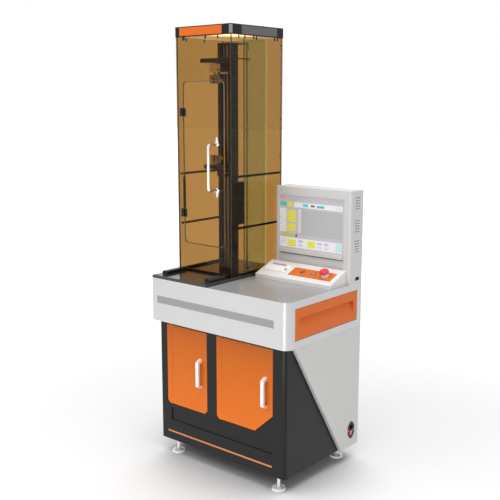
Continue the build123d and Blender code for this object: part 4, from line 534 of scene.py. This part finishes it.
class Workshop:
    """Makes materials once, dresses CAD nodes and turns point grids into pieces."""

    def __init__(self) -> None:
        """Builds the shared effects."""
        self.effects = Effects()
        self.materials: dict[str, Material] = {}

    def finish(self, name: str) -> Material:
        """Returns the material of a finish, made on its first use."""
        if name not in self.materials:
            self.materials[name] = FINISHES[name].make(self.effects)
        return self.materials[name]

    def dress(self, *nodes: str, finish: str = "") -> None:
        """Gives CAD nodes a finish, by default that of their slot in the record, and logs each.

        Args:
            nodes: names of CAD nodes.
            finish: name of the finish, or nothing for the record's own slot.
        """
        slots = {part["node"]: part["material_slot"] for part in frame["record"]["subparts"]}
        for node in nodes:
            name = finish or slots[node]
            mesh = frame["nodes"][node].data
            mesh.materials.clear()
            mesh.materials.append(self.finish(name))
            log.info("%s dressed as %s", node, name)

    def piece(self, name: str, points: np.ndarray, faces: np.ndarray | list, finish: str,
              body: str = "root", smooth: bool = True,
              tints: Optional[np.ndarray] = None) -> Object:
        """Makes a piece that rides on a body.

        Args:
            name: the piece's name.
            points: all corners, one row each, in metres.
            faces: numbers of the corners of each face.
            finish: name of its finish.
            body: the CAD body that it moves with.
            smooth: whether its faces are shaded round.
            tints: a colour for each corner, for a finish that reads it.

        Returns:
            The object.
        """
        mesh = bpy.data.meshes.new(name)
        mesh.from_pydata(np.asarray(points).reshape(-1, 3).tolist(), [], [list(f) for f in faces])
        if tints is not None:
            layer = mesh.attributes.new("tint", "FLOAT_COLOR", "POINT")
            layer.data.foreach_set("color", tints.astype(np.float32).ravel())
        mesh.materials.append(self.finish(finish))
        if smooth:
            mesh.shade_smooth()
            mesh.set_sharp_from_angle(angle=SHARP_ANGLE)
        mesh.update()
        piece = bpy.data.objects.new(name, mesh)
        bpy.context.scene.collection.objects.link(piece)
        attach(piece, body)
        log.info("%s made: %d faces on %s", name, len(mesh.polygons), body)
        return piece

    def plates(self, name: str, side: Side, out: float, outlines: list[np.ndarray],
               rise: float | np.ndarray, finish: str, ease: float,
               colors: Optional[np.ndarray] = None) -> None:
        """Makes flat plates with eased rims on one face of the machine.

        Args:
            name: the piece's name.
            side: the face.
            out: place of the face along its way out, in millimetres.
            outlines: the outline of each plate in the face's coordinates, in millimetres.
            rise: how far the plates stand out, one number or one for each.
            finish: name of the finish.
            ease: how far the rim is drawn in at the top.
            colors: one colour for each plate, for a finish that reads it.
        """
        points, faces = stamped(np.array(outlines), rise, side, out, ease)
        tints = None
        if colors is not None:
            opaque = np.concatenate([colors, np.ones((len(colors), 1))], axis=1)
            tints = np.repeat(opaque, len(points) // len(outlines), axis=0)
        self.piece(name, points, faces, finish, smooth=False, tints=tints)

    def screws(self, name: str, spots: list[np.ndarray], axis: np.ndarray, head: tuple[float, float, float],
               finish: str, body: str = "root", steps: int = 16) -> None:
        """Makes a set of socket head screws as one piece.

        Args:
            name: the piece's name.
            spots: the point under each head, in metres.
            axis: the way that the heads stand out.
            head: the head's radius and height and the socket's radius, in millimetres.
            finish: name of the finish.
            body: the CAD body that they move with.
            steps: points in each ring.
        """
        profile = screw_head(*head)
        one = turned(profile, np.zeros(3), axis, steps).reshape(-1, 3)
        points = np.array(spots)[:, None, :] + one[None]
        self.piece(name, points, stacks(len(spots), len(profile), steps), finish, body, smooth=False)


def grid_faces(rows: int, columns: int, loop: bool = False) -> np.ndarray:
    """Quads of a stack of rings: each joins a point, its right neighbour and the two above them.

    Args:
        rows: number of rings.
        columns: number of points in a ring.
        loop: whether the last ring joins the first.

    Returns:
        One row of four point numbers for each quad.
    """
    row, column = np.meshgrid(np.arange(rows if loop else rows - 1), np.arange(columns), indexing="ij")
    right, above = (column + 1) % columns, (row + 1) % rows
    quads = np.stack([row * columns + column, row * columns + right,
                      above * columns + right, above * columns + column], axis=-1)
    return quads.reshape(-1, 4)


def stacks(count: int, rows: int, columns: int) -> list:
    """Faces of closed stacks of rings, one stack after another: the quads, a floor and a lid each.

    Args:
        count: number of stacks.
        rows: number of rings in each.
        columns: number of points in a ring.

    Returns:
        The point numbers of each face.
    """
    floor = np.arange(columns)[::-1]
    lid = np.arange(columns) + (rows - 1) * columns
    one = [*grid_faces(rows, columns), floor, lid]
    return [face + number * rows * columns for number in range(count) for face in one]


def circle(steps: int) -> np.ndarray:
    """Cosine and sine of evenly spaced angles round a full turn, one row for each angle."""
    angle = np.linspace(0, TURN, steps, endpoint=False)
    return np.stack([np.cos(angle), np.sin(angle)], axis=1)


def axes_for(axis: np.ndarray) -> np.ndarray:
    """Two directions square to an axis and to each other, right-handed with it."""
    first = np.cross(UP if abs(axis[2]) < 0.9 else RIGHT, axis)
    first = first / np.linalg.norm(first)
    return np.array([first, np.cross(axis, first)])


def turned(profile: np.ndarray, centre: np.ndarray, axis: np.ndarray, steps: int = 32) -> np.ndarray:
    """A profile turned about an axis: centre + height x axis + radius x (cos, sin of the angle).

    Args:
        profile: radius and height of each ring, in metres, from the bottom up.
        centre: point on the axis at height 0.
        axis: direction of the axis, of length 1.
        steps: points in each ring.

    Returns:
        A grid of points, one row for each ring.
    """
    around = circle(steps) @ axes_for(axis)
    return centre + profile[:, 1, None, None] * axis + profile[:, 0, None, None] * around


def carried(section: np.ndarray, path: np.ndarray, side: np.ndarray) -> np.ndarray:
    """A closed section carried round a closed path: at each point it lies square to the path's run.

    Args:
        section: offsets along the side direction and square to it.
        path: the path's points.
        side: a direction that is never along the path.

    Returns:
        A grid of points, one row for each point of the path.
    """
    run = np.roll(path, -1, axis=0) - np.roll(path, 1, axis=0)
    run = run / np.linalg.norm(run, axis=1, keepdims=True)
    over = np.cross(run, side)
    over = over / np.linalg.norm(over, axis=1, keepdims=True)
    flat = np.cross(over, run)
    return (path[:, None] + section[None, :, 0, None] * flat[:, None]
            + section[None, :, 1, None] * over[:, None])


def rounded(wide: float, high: float, corner: float, steps: int) -> np.ndarray:
    """Outline of a rectangle with round corners: corner centres plus quarter circles.

    Args:
        wide: full width.
        high: full height.
        corner: corner radius.
        steps: points in each corner.

    Returns:
        The outline's points, counter-clockwise.
    """
    angle = np.linspace(0, TURN / 4, steps)[None, :] + np.arange(4)[:, None] * TURN / 4
    signs = np.array([[1, 1], [-1, 1], [-1, -1], [1, -1]])
    centres = signs * np.array([wide / 2 - corner, high / 2 - corner])
    points = centres[:, None, :] + corner * np.stack([np.cos(angle), np.sin(angle)], axis=-1)
    return points.reshape(-1, 2)


def stamped(outlines: np.ndarray, rise: float | np.ndarray, side: Side, out: float,
            ease: float) -> tuple[np.ndarray, list]:
    """Plates with eased rims: start + x times across + y times up + height times the way out.

    The top ring is the outline drawn towards its own middle by the ease.

    Args:
        outlines: outline of each plate in millimetres, counter-clockwise.
        rise: thickness of all plates, or of each.
        side: the face that they lie on.
        out: place of that face along its way out.
        ease: how far the rim is drawn in.

    Returns:
        Points and faces.
    """
    across, up, away = (np.array(v, dtype=float) for v in side.value)
    middle = (outlines.min(axis=1, keepdims=True) + outlines.max(axis=1, keepdims=True)) / 2
    reach = np.abs(outlines - middle).max(axis=1, keepdims=True)
    drawn = middle + (outlines - middle) * (1 - ease / reach)
    height = np.broadcast_to(rise, len(outlines))[:, None, None, None]
    rings = np.stack([outlines, outlines, drawn], axis=1)
    share = np.array([0.0, 0.7, 1.0])[None, :, None, None]
    points = side.start(out) + MM * (rings[..., :1] * across + rings[..., 1:] * up + share * height * away)
    return points.reshape(-1, 3), stacks(len(outlines), 3, outlines.shape[1])


def tile(left: float, low: float, right: float, high: float, corner: float = 0.8) -> np.ndarray:
    """Outline of a plate between two opposite corners, with round corners of 5 points each."""
    middle = np.array([(left + right) / 2, (low + high) / 2])
    return rounded(right - left, high - low, corner, steps=5) + middle


def ring(centre: np.ndarray, axis: np.ndarray, radius: float, thick: float) -> np.ndarray:
    """A round bead of RING_STEPS by BEAD_STEPS points, carried round a circle.

    Args:
        centre: the circle's middle, in metres.
        axis: direction square to the circle.
        radius: the circle's radius in millimetres.
        thick: the bead's radius in millimetres.

    Returns:
        A grid of points, one row for each point of the circle.
    """
    path = centre + radius * MM * (circle(RING_STEPS) @ axes_for(axis))
    return carried(thick * MM * circle(BEAD_STEPS), path, axis)


def screw_head(radius: float, high: float, socket: float) -> np.ndarray:
    """Profile of a socket head screw: rim with eased edge, then a sunk socket.

    Args:
        radius: the head's radius in millimetres.
        high: the head's height in millimetres.
        socket: the socket's radius in millimetres.

    Returns:
        Radius and height of each ring, in metres.
    """
    ease = high / 4
    return MM * np.array([[radius, 0], [radius, high - ease], [radius - ease, high],
                          [socket, high], [socket, high / 2], [socket / 8, high / 2 - ease]])


RING_FACES = grid_faces(RING_STEPS, BEAD_STEPS, loop=True)


@dataclass
class Part:
    """A part of the machine: solids to dress, and small pieces that are added to them."""

    shop: Workshop
    nodes: tuple[str, ...] = ()
    finishes: tuple[tuple[str, str], ...] = ()

    def build(self) -> None:
        """Dresses the solids, by their own slot or by a finish of the part's, and adds its pieces."""
        self.shop.dress(*self.nodes)
        for node, finish in self.finishes:
            self.shop.dress(node, finish=finish)
        self.add()

    def add(self) -> None:
        """Adds nothing. Each part has its own."""


@dataclass
class Cabinet(Part):
    """Cabinet with doors, side panel, drawer, mains inlet and feet."""

    nodes: tuple[str, ...] = (
        "cabinet_shell", "front_frame", "cabinet_pivots", "side_panel", "power_inlet",
        "power_rocker", "drawer", "drawer_runners", "controller_box")
    finishes: tuple[tuple[str, str], ...] = (
        ("left_door", "door_orange_painted_shade"), ("right_door", "door_orange_painted_shade"), ("accent_strip", "strip_orange_painted_highlight"),
        ("left_pull", "foot_silver"), ("right_pull", "foot_silver"), ("levelling_feet", "foot_silver"))
    inlet: Point = (728.0, 438.0, 133.0)
    inlet_pitch: float = 20.0
    louvre_backs: tuple[float, ...] = (180.0, 300.0)
    louvre_long: float = 90.0
    louvre_high: float = 4.0
    louvre_swell: float = 2.6
    louvre_pitch: float = 14.0
    louvre_low: float = 400.0
    louvre_count: int = 6
    side_face: float = 45.0

    def add(self) -> None:
        """Adds the louvres and the inlet's screws."""
        self.louvres()
        out, back, up = self.inlet
        spots = [place(out, back + step, up) for step in (-self.inlet_pitch, self.inlet_pitch)]
        self.shop.screws("inlet_screws", spots, RIGHT, (2.4, 1.2, 1.2), "satin")

    def louvres(self) -> None:
        """Pressed louvres in the cabinet's left side: half ellipses that swell out and die at the ends.

        Out = swell times the root of (1 - u squared) times the sine of v, with u along the louvre and
        the angle v over its height.
        """
        along = np.linspace(-1, 1, 25)
        angle = np.linspace(0, np.pi, 9)
        swell = np.sqrt(np.clip(1 - along ** 2, 0.02, 1))
        out = self.side_face - self.louvre_swell * np.sin(angle)[None, :] * swell[:, None]
        grids = []
        for middle in self.louvre_backs:
            back = middle + self.louvre_long / 2 * along
            for up in np.arange(self.louvre_count) * self.louvre_pitch + self.louvre_low:
                high = up + self.louvre_high * np.cos(angle)
                grids.append(MM * np.stack([LEFT + out, np.broadcast_to(FRONT + back[:, None], out.shape),
                                            np.broadcast_to(high[None, :], out.shape)], axis=-1))
        outward = [face[::-1] for face in stacks(len(grids), len(along), len(angle))]
        self.shop.piece("side_louvres", np.array(grids), outward, "black_paint")


@dataclass
class Deck(Part):
    """Deck with worktop, stripe, base plate and rails."""

    nodes: tuple[str, ...] = ("deck_housing", "stripe_inlay", "worktop", "base_plate", "fixture_rails")
    plate_top: float = 772.0

    def add(self) -> None:
        """Adds the base plate's screws."""
        spots = [place(x, y, self.plate_top) for x in (10.0, 301.0) for y in (20.0, 148.0)]
        self.shop.screws("plate_screws", spots, UP, (3.4, 1.2, 1.8), "black_plastic")


@dataclass
class LoadFrame(Part):
    """Column with rods, screw, carriage, arms, load cell and grips."""

    nodes: tuple[str, ...] = (
        "drive_pedestal", "drive_motor", "column", "screw_bearings", "guide_rods", "drive_screw",
        "carriage", "crosshead_arm", "lower_arm", "load_cell", "upper_grip", "lower_grip",
        "upper_jaw", "lower_jaw", "amplifier_box")
    finishes: tuple[tuple[str, str], ...] = (("limit_rod", "satin"),)
    axis_x: float = 153.0
    screw_y: float = 314.5
    thread_low: float = 798.3
    thread_high: float = 1723.7
    thread_radius: float = 7.0
    thread_deep: float = 1.1
    thread_steps: int = 28
    groove: float = 0.32
    lead: float = 10.0
    lead_rings: int = 12
    plain_rings: int = 6
    ease: float = 0.8
    core: float = 5.0
    collar: float = 6.4

    def add(self) -> None:
        """Adds the threaded screw and the screws of arms and column."""
        self.threaded_screw()
        for name, top, body in (("arm_screws", 1665.0, "crosshead"), ("lower_arm_screws", 1192.0, "root")):
            spots = [place(x, 262.0, top) for x in (118.0, 188.0)]
            self.shop.screws(name, spots, UP, (4.0, 4.0, 2.2), "steel", body)
        spots = [place(189.0, y, z) for y in (302.0, 327.0) for z in np.linspace(840.0, 1690.0, 9)]
        self.shop.screws("column_screws_right", spots, RIGHT, (2.6, 1.4, 1.3), "steel", steps=12)

    def threaded_screw(self) -> None:
        """Screw with its coupling: rings about the axis, cut by a round groove that winds down it.

        Radius = ring radius - depth times the root of (1 - s squared), where s is the distance from
        the groove's middle, and the middle drops by one lead in a full turn.
        """
        low, high, core = self.thread_low, self.thread_high, self.core
        foot = [(0.5, 671.0), (core, 671.0), (core, 704.5), (14.2, 704.5), (15.0, 705.3), (15.0, 719.0),
                (12.0, 719.6), (12.0, 723.4), (15.0, 724.0), (15.0, 737.7), (14.2, 738.5),
                (core, 738.5), (core, low), (self.collar, low)]
        head = [(self.collar, high), (core, high), (core, 1731.2), (4.4, 1731.8), (0.5, 1731.8)]
        levels = np.arange(low + self.ease, high - self.ease, self.lead / self.lead_rings)
        thread = np.stack([np.full_like(levels, self.thread_radius), levels], axis=1)
        radii, heights = np.concatenate([np.array(foot), thread, np.array(head)]).T[:, :, None]
        cut = np.zeros_like(radii)
        first = len(foot) + self.plain_rings
        cut[first:len(foot) + len(thread) - self.plain_rings] = self.thread_deep
        angle = np.linspace(0, TURN, self.thread_steps, endpoint=False)
        phase = (heights / self.lead + angle / TURN) % 1.0
        radius = radii - cut * np.sqrt(np.clip(1 - ((phase - 0.5) / self.groove) ** 2, 0, 1))
        grid = MM * np.stack([radius * np.cos(angle), radius * np.sin(angle),
                              np.broadcast_to(heights, radius.shape)], axis=-1)
        points = grid + place(self.axis_x, self.screw_y, 0)
        faces = stacks(1, len(radii), self.thread_steps)
        piece = self.shop.piece("threaded_screw", points, faces, "steel", "screw")
        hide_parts("drive_screw")


@dataclass
class Guard(Part):
    """Acrylic guard with its hatch, braces and lit cap."""

    nodes: tuple[str, ...] = (
        "guard_front", "guard_braces", "hatch_handle", "hinge_fixed_leaves", "hinge_hatch_leaves",
        "cap_frame", "cap_front_insert", "cap_light")
    finishes: tuple[tuple[str, str], ...] = (
        ("guard_back", "rear_acrylic"), ("guard_hatch", "hatch_acrylic_painted_light"),
        ("guard_sides", "side_acrylic"), ("cap_side_insert", "insert_grey"), ("cap_clip", "steel"))
    left: float = 3.0
    right: float = 307.0
    front: float = 160.0
    back: float = 489.0
    low: float = 772.0
    top: float = 1753.0
    hatch_middle: Point = (152.5, 162.88, 1234.0)
    hinge_middles: tuple[float, float] = (1023.0, 1447.0)
    leaf_face: float = 158.0
    leaf_step: float = 10.0

    def add(self) -> None:
        """Adds the seal, the dark rod by the hinges, the corner trims, the tabs and all screws."""
        self.hatch_seal()
        self.hatch_dark_rod()
        self.corner_trims()
        self.cap_tabs()
        for name, across, body in (("fixed_leaf_screws", 26.0, "root"),
                                   ("hatch_leaf_screws", 48.5, "hatch")):
            spots = [place(across, self.leaf_face, middle + step)
                     for middle in self.hinge_middles for step in (-self.leaf_step, self.leaf_step)]
            self.shop.screws(name, spots, FORWARD, (2.4, 1.0, 1.1), "black_plastic", body, steps=12)
        spots = [place(x, self.back, z) for x in (14.0, 296.0) for z in np.linspace(800, 1725, 7)]
        self.shop.screws("guard_screws", spots, -FORWARD, (3.2, 1.6, 1.5), "satin", steps=12)

    def hatch_seal(self) -> None:
        """Seal round the hatch: a flat section carried round its outline, let into the sheet's rim."""
        outline = rounded(229.2, 680.2, 21.1, steps=9)
        middle = place(*self.hatch_middle)
        path = middle + MM * (outline[:, :1] * RIGHT + outline[:, 1:] * UP)
        section = rounded(5.4, 3.4, 0.5, steps=3) * MM
        faces = grid_faces(len(path), len(section), loop=True)
        self.shop.piece("hatch_seal", carried(section, path, -FORWARD), faces, "seal", "hatch")

    def hatch_dark_rod(self) -> None:
        """Dark rod behind the sheet, beside the hatch's hinges, that makes the dark strip there: a stepped
        profile, turned.
        """
        profile = MM * np.array([[3.2, 0], [3.2, 6], [5.6, 7], [5.6, 150], [4.0, 152], [4.0, 160]])
        points = turned(profile, place(31.0, self.front + 10.4, 1028.0), UP, 20)
        self.shop.piece("hatch_dark_rod", points, stacks(1, *points.shape[:2]), "black_plastic")

    def corner_trims(self) -> None:
        """Angle trims up the guard's four corners: an angle section, straight from plate to cap."""
        angle = np.array([[-1.6, -0.5], [0.5, -0.5], [0.5, 1.6], [0.0, 1.6], [0.0, 0.0], [-1.6, 0.0]])
        grids = []
        for x, y, signs in ((self.right, self.front, (1, 1)), (self.left, self.front, (-1, 1)),
                            (self.right, self.back, (1, -1)), (self.left, self.back, (-1, -1))):
            section = (angle * signs)[::signs[0] * signs[1]]
            path = np.array([place(x, y, self.low), place(x, y, self.top)])
            grids.append(path[:, None] + np.pad(section, ((0, 0), (0, 1)))[None] * MM)
        faces = stacks(len(grids), 2, len(angle))
        self.shop.piece("corner_trims", np.array(grids), faces, "trim", smooth=False)

    def cap_tabs(self) -> None:
        """Tabs that hang from the cap over the outside of the front and right sheets."""
        for name, side, out, middles in (
                ("cap_tabs_front", Side.FRONT, self.front, (50.0, 170.0)),
                ("cap_tabs_right", Side.RIGHT, self.right, (245.0, 300.0, 455.0))):
            outlines = [tile(m - 4, self.top - 13, m + 4, self.top, 3.0) for m in middles]
            self.shop.plates(name, side, out, outlines, 1.6, "black_plastic", ease=0.5)


@dataclass
class Console(Part):
    """Monitor, sloped desk, keys and printer."""

    nodes: tuple[str, ...] = (
        "console_housing", "usb_port", "touch_screen", "keypad_plate", "start_button",
        "estop_head", "printer_body", "printer_lid")
    finishes: tuple[tuple[str, str], ...] = (
        ("console_desk", "desk_white"), ("stop_button", "alloy"), ("estop_collar", "white_plastic"))
    field_left: float = 361.0
    field_wide: float = 330.0
    field_top: float = 1105.0
    field_high: float = 251.0
    screen_face: float = 411.0
    button_xs: tuple[float, float] = (531.0, 586.0)
    button_up: float = 60.0

    def add(self) -> None:
        """Adds the screen's picture and ledge, the rings, the lamp, the screws and the paper."""
        self.picture()
        self.ledge()
        self.rings()
        self.signal_lamp()
        spots = [Side.DESK.point(x, y, 5.0) for x in (345.0, 455.0) for y in (41.0, 85.0)]
        self.shop.screws("printer_screws", spots, DESK_OUT, (2.0, 0.8, 0.9), "alloy", steps=12)
        self.paper()

    def on_screen(self, *spans: float) -> np.ndarray:
        """Outline of a tile from shares of the screen: left, top, right and bottom."""
        left, right = (self.field_left + span * self.field_wide for span in spans[::2])
        high, low = (self.field_top - span * self.field_high for span in spans[1::2])
        return tile(left, low, right, high, 0.6)

    def picture(self) -> None:
        """Plain test screen: tables, keys and an empty chart, as tiles that carry their own colours."""
        white, yellow, cyan = ink(246, 246, 248), ink(238, 236, 62), ink(80, 220, 225)
        table, keys = np.arange(0.235, 0.62, 0.040), (0.30, 0.60, 0.70)
        tiles: list[tuple[tuple[float, ...], Color, float]] = [
            ((0.0, 0.0, 1.0, 1.0), ink(200, 199, 204), 0.1),
            ((0.005, 0.03, 0.07, 0.075), ink(240, 150, 190), 0.3),
            ((0.005, 0.125, 0.11, 0.19), ink(80, 205, 180), 0.3),
            ((0.12, 0.115, 0.21, 0.20), ink(232, 226, 110), 0.3),
            ((0.23, 0.115, 0.97, 0.20), white, 0.2),
            ((0.35, 0.225, 0.97, 0.66), ink(190, 190, 192), 0.2),
            ((0.005, 0.72, 0.97, 0.885), white, 0.2),
            ((0.445, 0.745, 0.567, 0.86), yellow, 0.4),
            ((0.875, 0.735, 0.965, 0.87), ink(190, 240, 240), 0.4),
            ((0.03, 0.65, 0.24, 0.70), ink(205, 205, 90), 0.3),
            ((0.255, 0.655, 0.28, 0.705), ink(110, 70, 130), 0.4),
            ((0.37, 0.13, 0.45, 0.185), cyan, 0.4),
            ((0.49, 0.14, 0.55, 0.175), ink(120, 100, 60), 0.4),
            ((0.58, 0.14, 0.70, 0.18), ink(70, 195, 200), 0.4),
            ((0.86, 0.13, 0.95, 0.185), ink(225, 240, 240), 0.4),
            *(((0.005, v, 0.105, v + 0.030), white, 0.3) for v in table),
            *(((0.30, v, 0.335, v + 0.030), ink(238, 232, 250), 0.3) for v in table),
            *(((0.12, v, 0.262, v + 0.034), yellow, 0.3)
              for v in (0.26, 0.30, 0.34, 0.38, 0.42, 0.49, 0.53, 0.57, 0.755, 0.795, 0.835)),
            *(((0.012, v, 0.10, v + 0.018), ink(216, 206, 232), 0.4) for v in (0.745, 0.785, 0.825)),
            *(((u, 0.75, u + 0.07, 0.79), ink(205, 200, 235), 0.4) for u in keys),
            *(((u, 0.815, u + 0.07, 0.855), ink(226, 220, 240), 0.4) for u in keys),
            *(((u, 0.235, u + 0.004, 0.65), ink(178, 178, 182), 0.3) for u in np.arange(0.40, 0.96, 0.06)),
            *(((0.36, v, 0.96, v + 0.005), ink(178, 178, 182), 0.35) for v in np.arange(0.29, 0.64, 0.07)),
        ]
        spans, colors, rises = zip(*tiles)
        outlines = [self.on_screen(*shares) for shares in spans]
        self.shop.plates("screen_picture", Side.FRONT, self.screen_face, outlines, np.array(rises),
                         "display", ease=0.05, colors=np.array(colors))

    def ledge(self) -> None:
        """Light ledge under the picture and the dark gap below it."""
        left, right = self.field_left, self.field_left + self.field_wide
        low = self.field_top - self.field_high
        for name, inset, bottom, top, corner, rise, finish, ease in (
                ("screen_ledge", 4, 5, 22, 1.5, 3.0, "grey_paint", 1.0),
                ("screen_gap", 1, 0.4, 3.0, 1.0, 0.6, "black_plastic", 0.2)):
            outline = tile(left + inset, low + bottom, right - inset, low + top, corner)
            self.shop.plates(name, Side.FRONT, self.screen_face, [outline], rise, finish, ease=ease)

    def rings(self) -> None:
        """Rings round the two keys and a light one under the stop button's collar."""
        keys = [ring(Side.DESK.point(x, self.button_up, 2.6), DESK_OUT, 10.2, 1.3) for x in self.button_xs]
        count = RING_STEPS * BEAD_STEPS
        self.shop.piece("key_rings", np.array(keys), [*RING_FACES, *(RING_FACES + count)], "steel")
        stop = ring(Side.DESK.point(645.0, 58.0, 2.4), DESK_OUT, 16.6, 1.5)
        self.shop.piece("stop_ring", stop, RING_FACES, "alloy")

    def signal_lamp(self) -> None:
        """Small red lamp: a quarter circle turned about its axis, in a bright ring."""
        centre, radius = Side.DESK.point(676.0, 80.0, 2.0), 4.2 * MM
        angle = np.linspace(0, np.pi / 2 - 0.05, 8)
        dome = radius * np.stack([np.cos(angle), np.sin(angle)], axis=1) + [0, 1.2 * MM]
        points = turned(np.concatenate([[[radius, 0]], dome]), centre, DESK_OUT, 24)
        self.shop.piece("signal_lamp", points, stacks(1, *points.shape[:2]), "lamp_red")
        bead = ring(centre + 0.6 * MM * DESK_OUT, DESK_OUT, 5.0, 0.8)
        self.shop.piece("lamp_ring", bead, RING_FACES, "chrome")

    def paper(self) -> None:
        """Edge of the paper in the printer's slot, the grey bar that it is torn on, which also shows the
        slot's shade as a dark strip, and the feed key.
        """
        for name, out, spans, corner, rise, finish, ease in (
                ("paper_edge", -2.0, (364.0, 79.7, 425.0, 80.3), 0.25, 5.0, "paper", 0.05),
                # Partly painted shade: the tear bar's grey shows the slot's shaded opening as a dark strip.
                ("tear_bar_and_slot_shade", 5.0, (358.0, 82.6, 431.0, 88.6), 1.0, 1.2, "stripe_grey", 0.4),
                ("feed_key", 5.0, (441.0, 48.0, 453.0, 62.0), 2.5, 1.2, "stripe_grey", 0.6)):
            self.shop.plates(name, Side.DESK, out, [tile(*spans, corner)], rise, finish, ease=ease)


@dataclass
class Studio:
    """Camera, pale floor and soft lamps."""

    eye: Point = (2.14247, -2.55545, 1.49872)
    toward: Point = (-0.63578, 0.75050, -0.18035)
    lens: float = 59.03
    daylight: float = 0.5
    floor_size: float = 30.0
    floor_seen: float = 0.48
    floor_lit: float = 0.72
    floor_mirrored: float = 0.62
    glow_near: float = 0.5
    glow_far: float = 0.6

    def build(self) -> None:
        """Sets up everything round the object."""
        self.camera()
        self.floor()
        self.world()
        self.lamp("key_lamp", (-1.9, -3.2, 3.9), (0.0, 0.0, 0.9), 2.2, 66.0)
        self.lamp("top_lamp", (0.6, -0.6, 4.2), (0.0, 0.0, 0.8), 2.6, 74.0)
        self.lamp("side_lamp", (3.8, 0.6, 2.0), (0.2, 0.0, 0.7), 2.2, 17.0)
        self.lamp("low_lamp", (0.5, -1.9, 0.2), (0.0, -0.2, 0.2), 0.9, 8.0)
        self.lamp("corner_lamp", (0.78, -1.5, 0.5), (0.36, -0.23, 0.5), 0.55, 16.0, high=1.2, card=True)

    def camera(self) -> None:
        """Places the camera by its eye point and its view direction."""
        data = bpy.data.cameras.new("camera")
        data.lens, data.sensor_width, data.clip_end = self.lens, 36.0, 50.0
        camera = bpy.data.objects.new("camera", data)
        turn = Vector(self.toward).normalized().to_track_quat("-Z", "Y")
        camera.matrix_world = Matrix.Translation(self.eye) @ turn.to_matrix().to_4x4()
        bpy.context.scene.collection.objects.link(camera)
        bpy.context.scene.camera = camera

    def floor(self) -> None:
        """Wide pale floor, white to the camera where nothing shades it.

        To the camera it glows by the share of the sky over it that is open, on the side that the light
        comes from, and glows all over farther away, so the shadow round the machine is painted shade.
        Seen in a mirror or through glass it glows evenly.
        """
        size = self.floor_size
        mesh = bpy.data.meshes.new("floor")
        corners = [(-size, -size, 0), (size, -size, 0), (size, size, 0), (-size, size, 0)]
        mesh.from_pydata(corners, [], [(0, 1, 2, 3)])
        g = MaterialGraph("floor")
        rays = g.add("LightPath").outputs
        seen = rays["Is Camera Ray"]
        tone = g.blend(seen, (*[self.floor_lit] * 3, 1.0), (*[self.floor_seen] * 3, 1.0))
        g.feed(g.shader, {"Base Color": tone, "Roughness": 0.6, "Specular IOR Level": 0.1})
        # Painted shadow: ambient occlusion, leaned towards the light, cuts the camera's glow round the
        # machine.
        lean = g.add("CombineXYZ", {0: -0.12, 1: 0.35, 2: 0.93}).outputs[0]
        sky = g.add("AmbientOcclusion", {"Distance": 1.6, "Normal": lean}, samples=16).outputs["AO"]
        eased = g.add("MapRange", {"Value": sky, "From Min": 0.3, "From Max": 0.88},
                      interpolation_type="SMOOTHSTEP").outputs[0]
        away = g.add("VectorMath", {0: g.where()}, operation="LENGTH").outputs["Value"]
        far = g.add("MapRange", {"Value": away, "From Min": 0.9, "From Max": 4.0, "To Max": self.glow_far},
                    interpolation_type="SMOOTHSTEP").outputs[0]
        direct = g.math("MULTIPLY", seen, g.math("ADD", g.math("MULTIPLY", eased, self.glow_near), far))
        indirect = g.math("MAXIMUM", rays["Is Glossy Ray"], rays["Is Transmission Ray"])
        bright = g.math("ADD", direct, g.math("MULTIPLY", indirect, self.floor_mirrored))
        glow = g.add("Emission", {"Color": WHITE, "Strength": bright})
        g.show(g.add("AddShader", {0: g.shader.outputs[0], 1: glow.outputs[0]}))
        mesh.materials.append(g.material)
        floor = bpy.data.objects.new("floor", mesh)
        bpy.context.scene.collection.objects.link(floor)

    def world(self) -> None:
        """White to the camera, in reflections and through glass, softer as light."""
        world = bpy.data.worlds.new("studio")
        world.use_nodes = True
        g = Graph(world.node_tree)
        rays = g.add("LightPath").outputs
        indirect = g.math("MAXIMUM", rays["Is Glossy Ray"], rays["Is Transmission Ray"])
        seen = g.math("MAXIMUM", rays["Is Camera Ray"], indirect)
        soft = g.math("MULTIPLY", g.math("SUBTRACT", 1.0, seen), self.daylight)
        g.feed(g.tree.nodes["Background"], {"Color": WHITE, "Strength": g.math("ADD", seen, soft)})
        bpy.context.scene.world = world

    def lamp(self, name: str, spot: Point, target: Point, size: float, power: float,
             high: float = 0.0, card: bool = False) -> None:
        """Adds a lamp that no picture shows itself: soft light, or a card that gives highlights alone.

        Args:
            name: the lamp's name.
            spot: where it hangs.
            target: the point that it faces.
            size: its width.
            power: its power in watts.
            high: its height, or nothing for a square one.
            card: whether it gives highlights alone.
        """
        data = bpy.data.lights.new(name, "AREA")
        data.shape = "RECTANGLE"
        data.size, data.size_y, data.energy = size, high or size, power
        lamp = bpy.data.objects.new(name, data)
        lamp.location = spot
        lamp.visible_camera = lamp.visible_transmission = False
        lamp.visible_glossy, lamp.visible_diffuse = card, not card
        lamp.rotation_euler = (Vector(target) - Vector(spot)).to_track_quat("-Z", "Y").to_euler()
        bpy.context.scene.collection.objects.link(lamp)


def main() -> None:
    """Builds the machine's looks and the studio."""
    logging.basicConfig(level=logging.INFO, format="%(message)s")
    bpy.context.scene.view_settings.view_transform = "Standard"
    shop = Workshop()
    for part in (Cabinet(shop), Deck(shop), LoadFrame(shop), Guard(shop), Console(shop)):
        part.build()
    Studio().build()


if __name__ == "__main__":
    main()
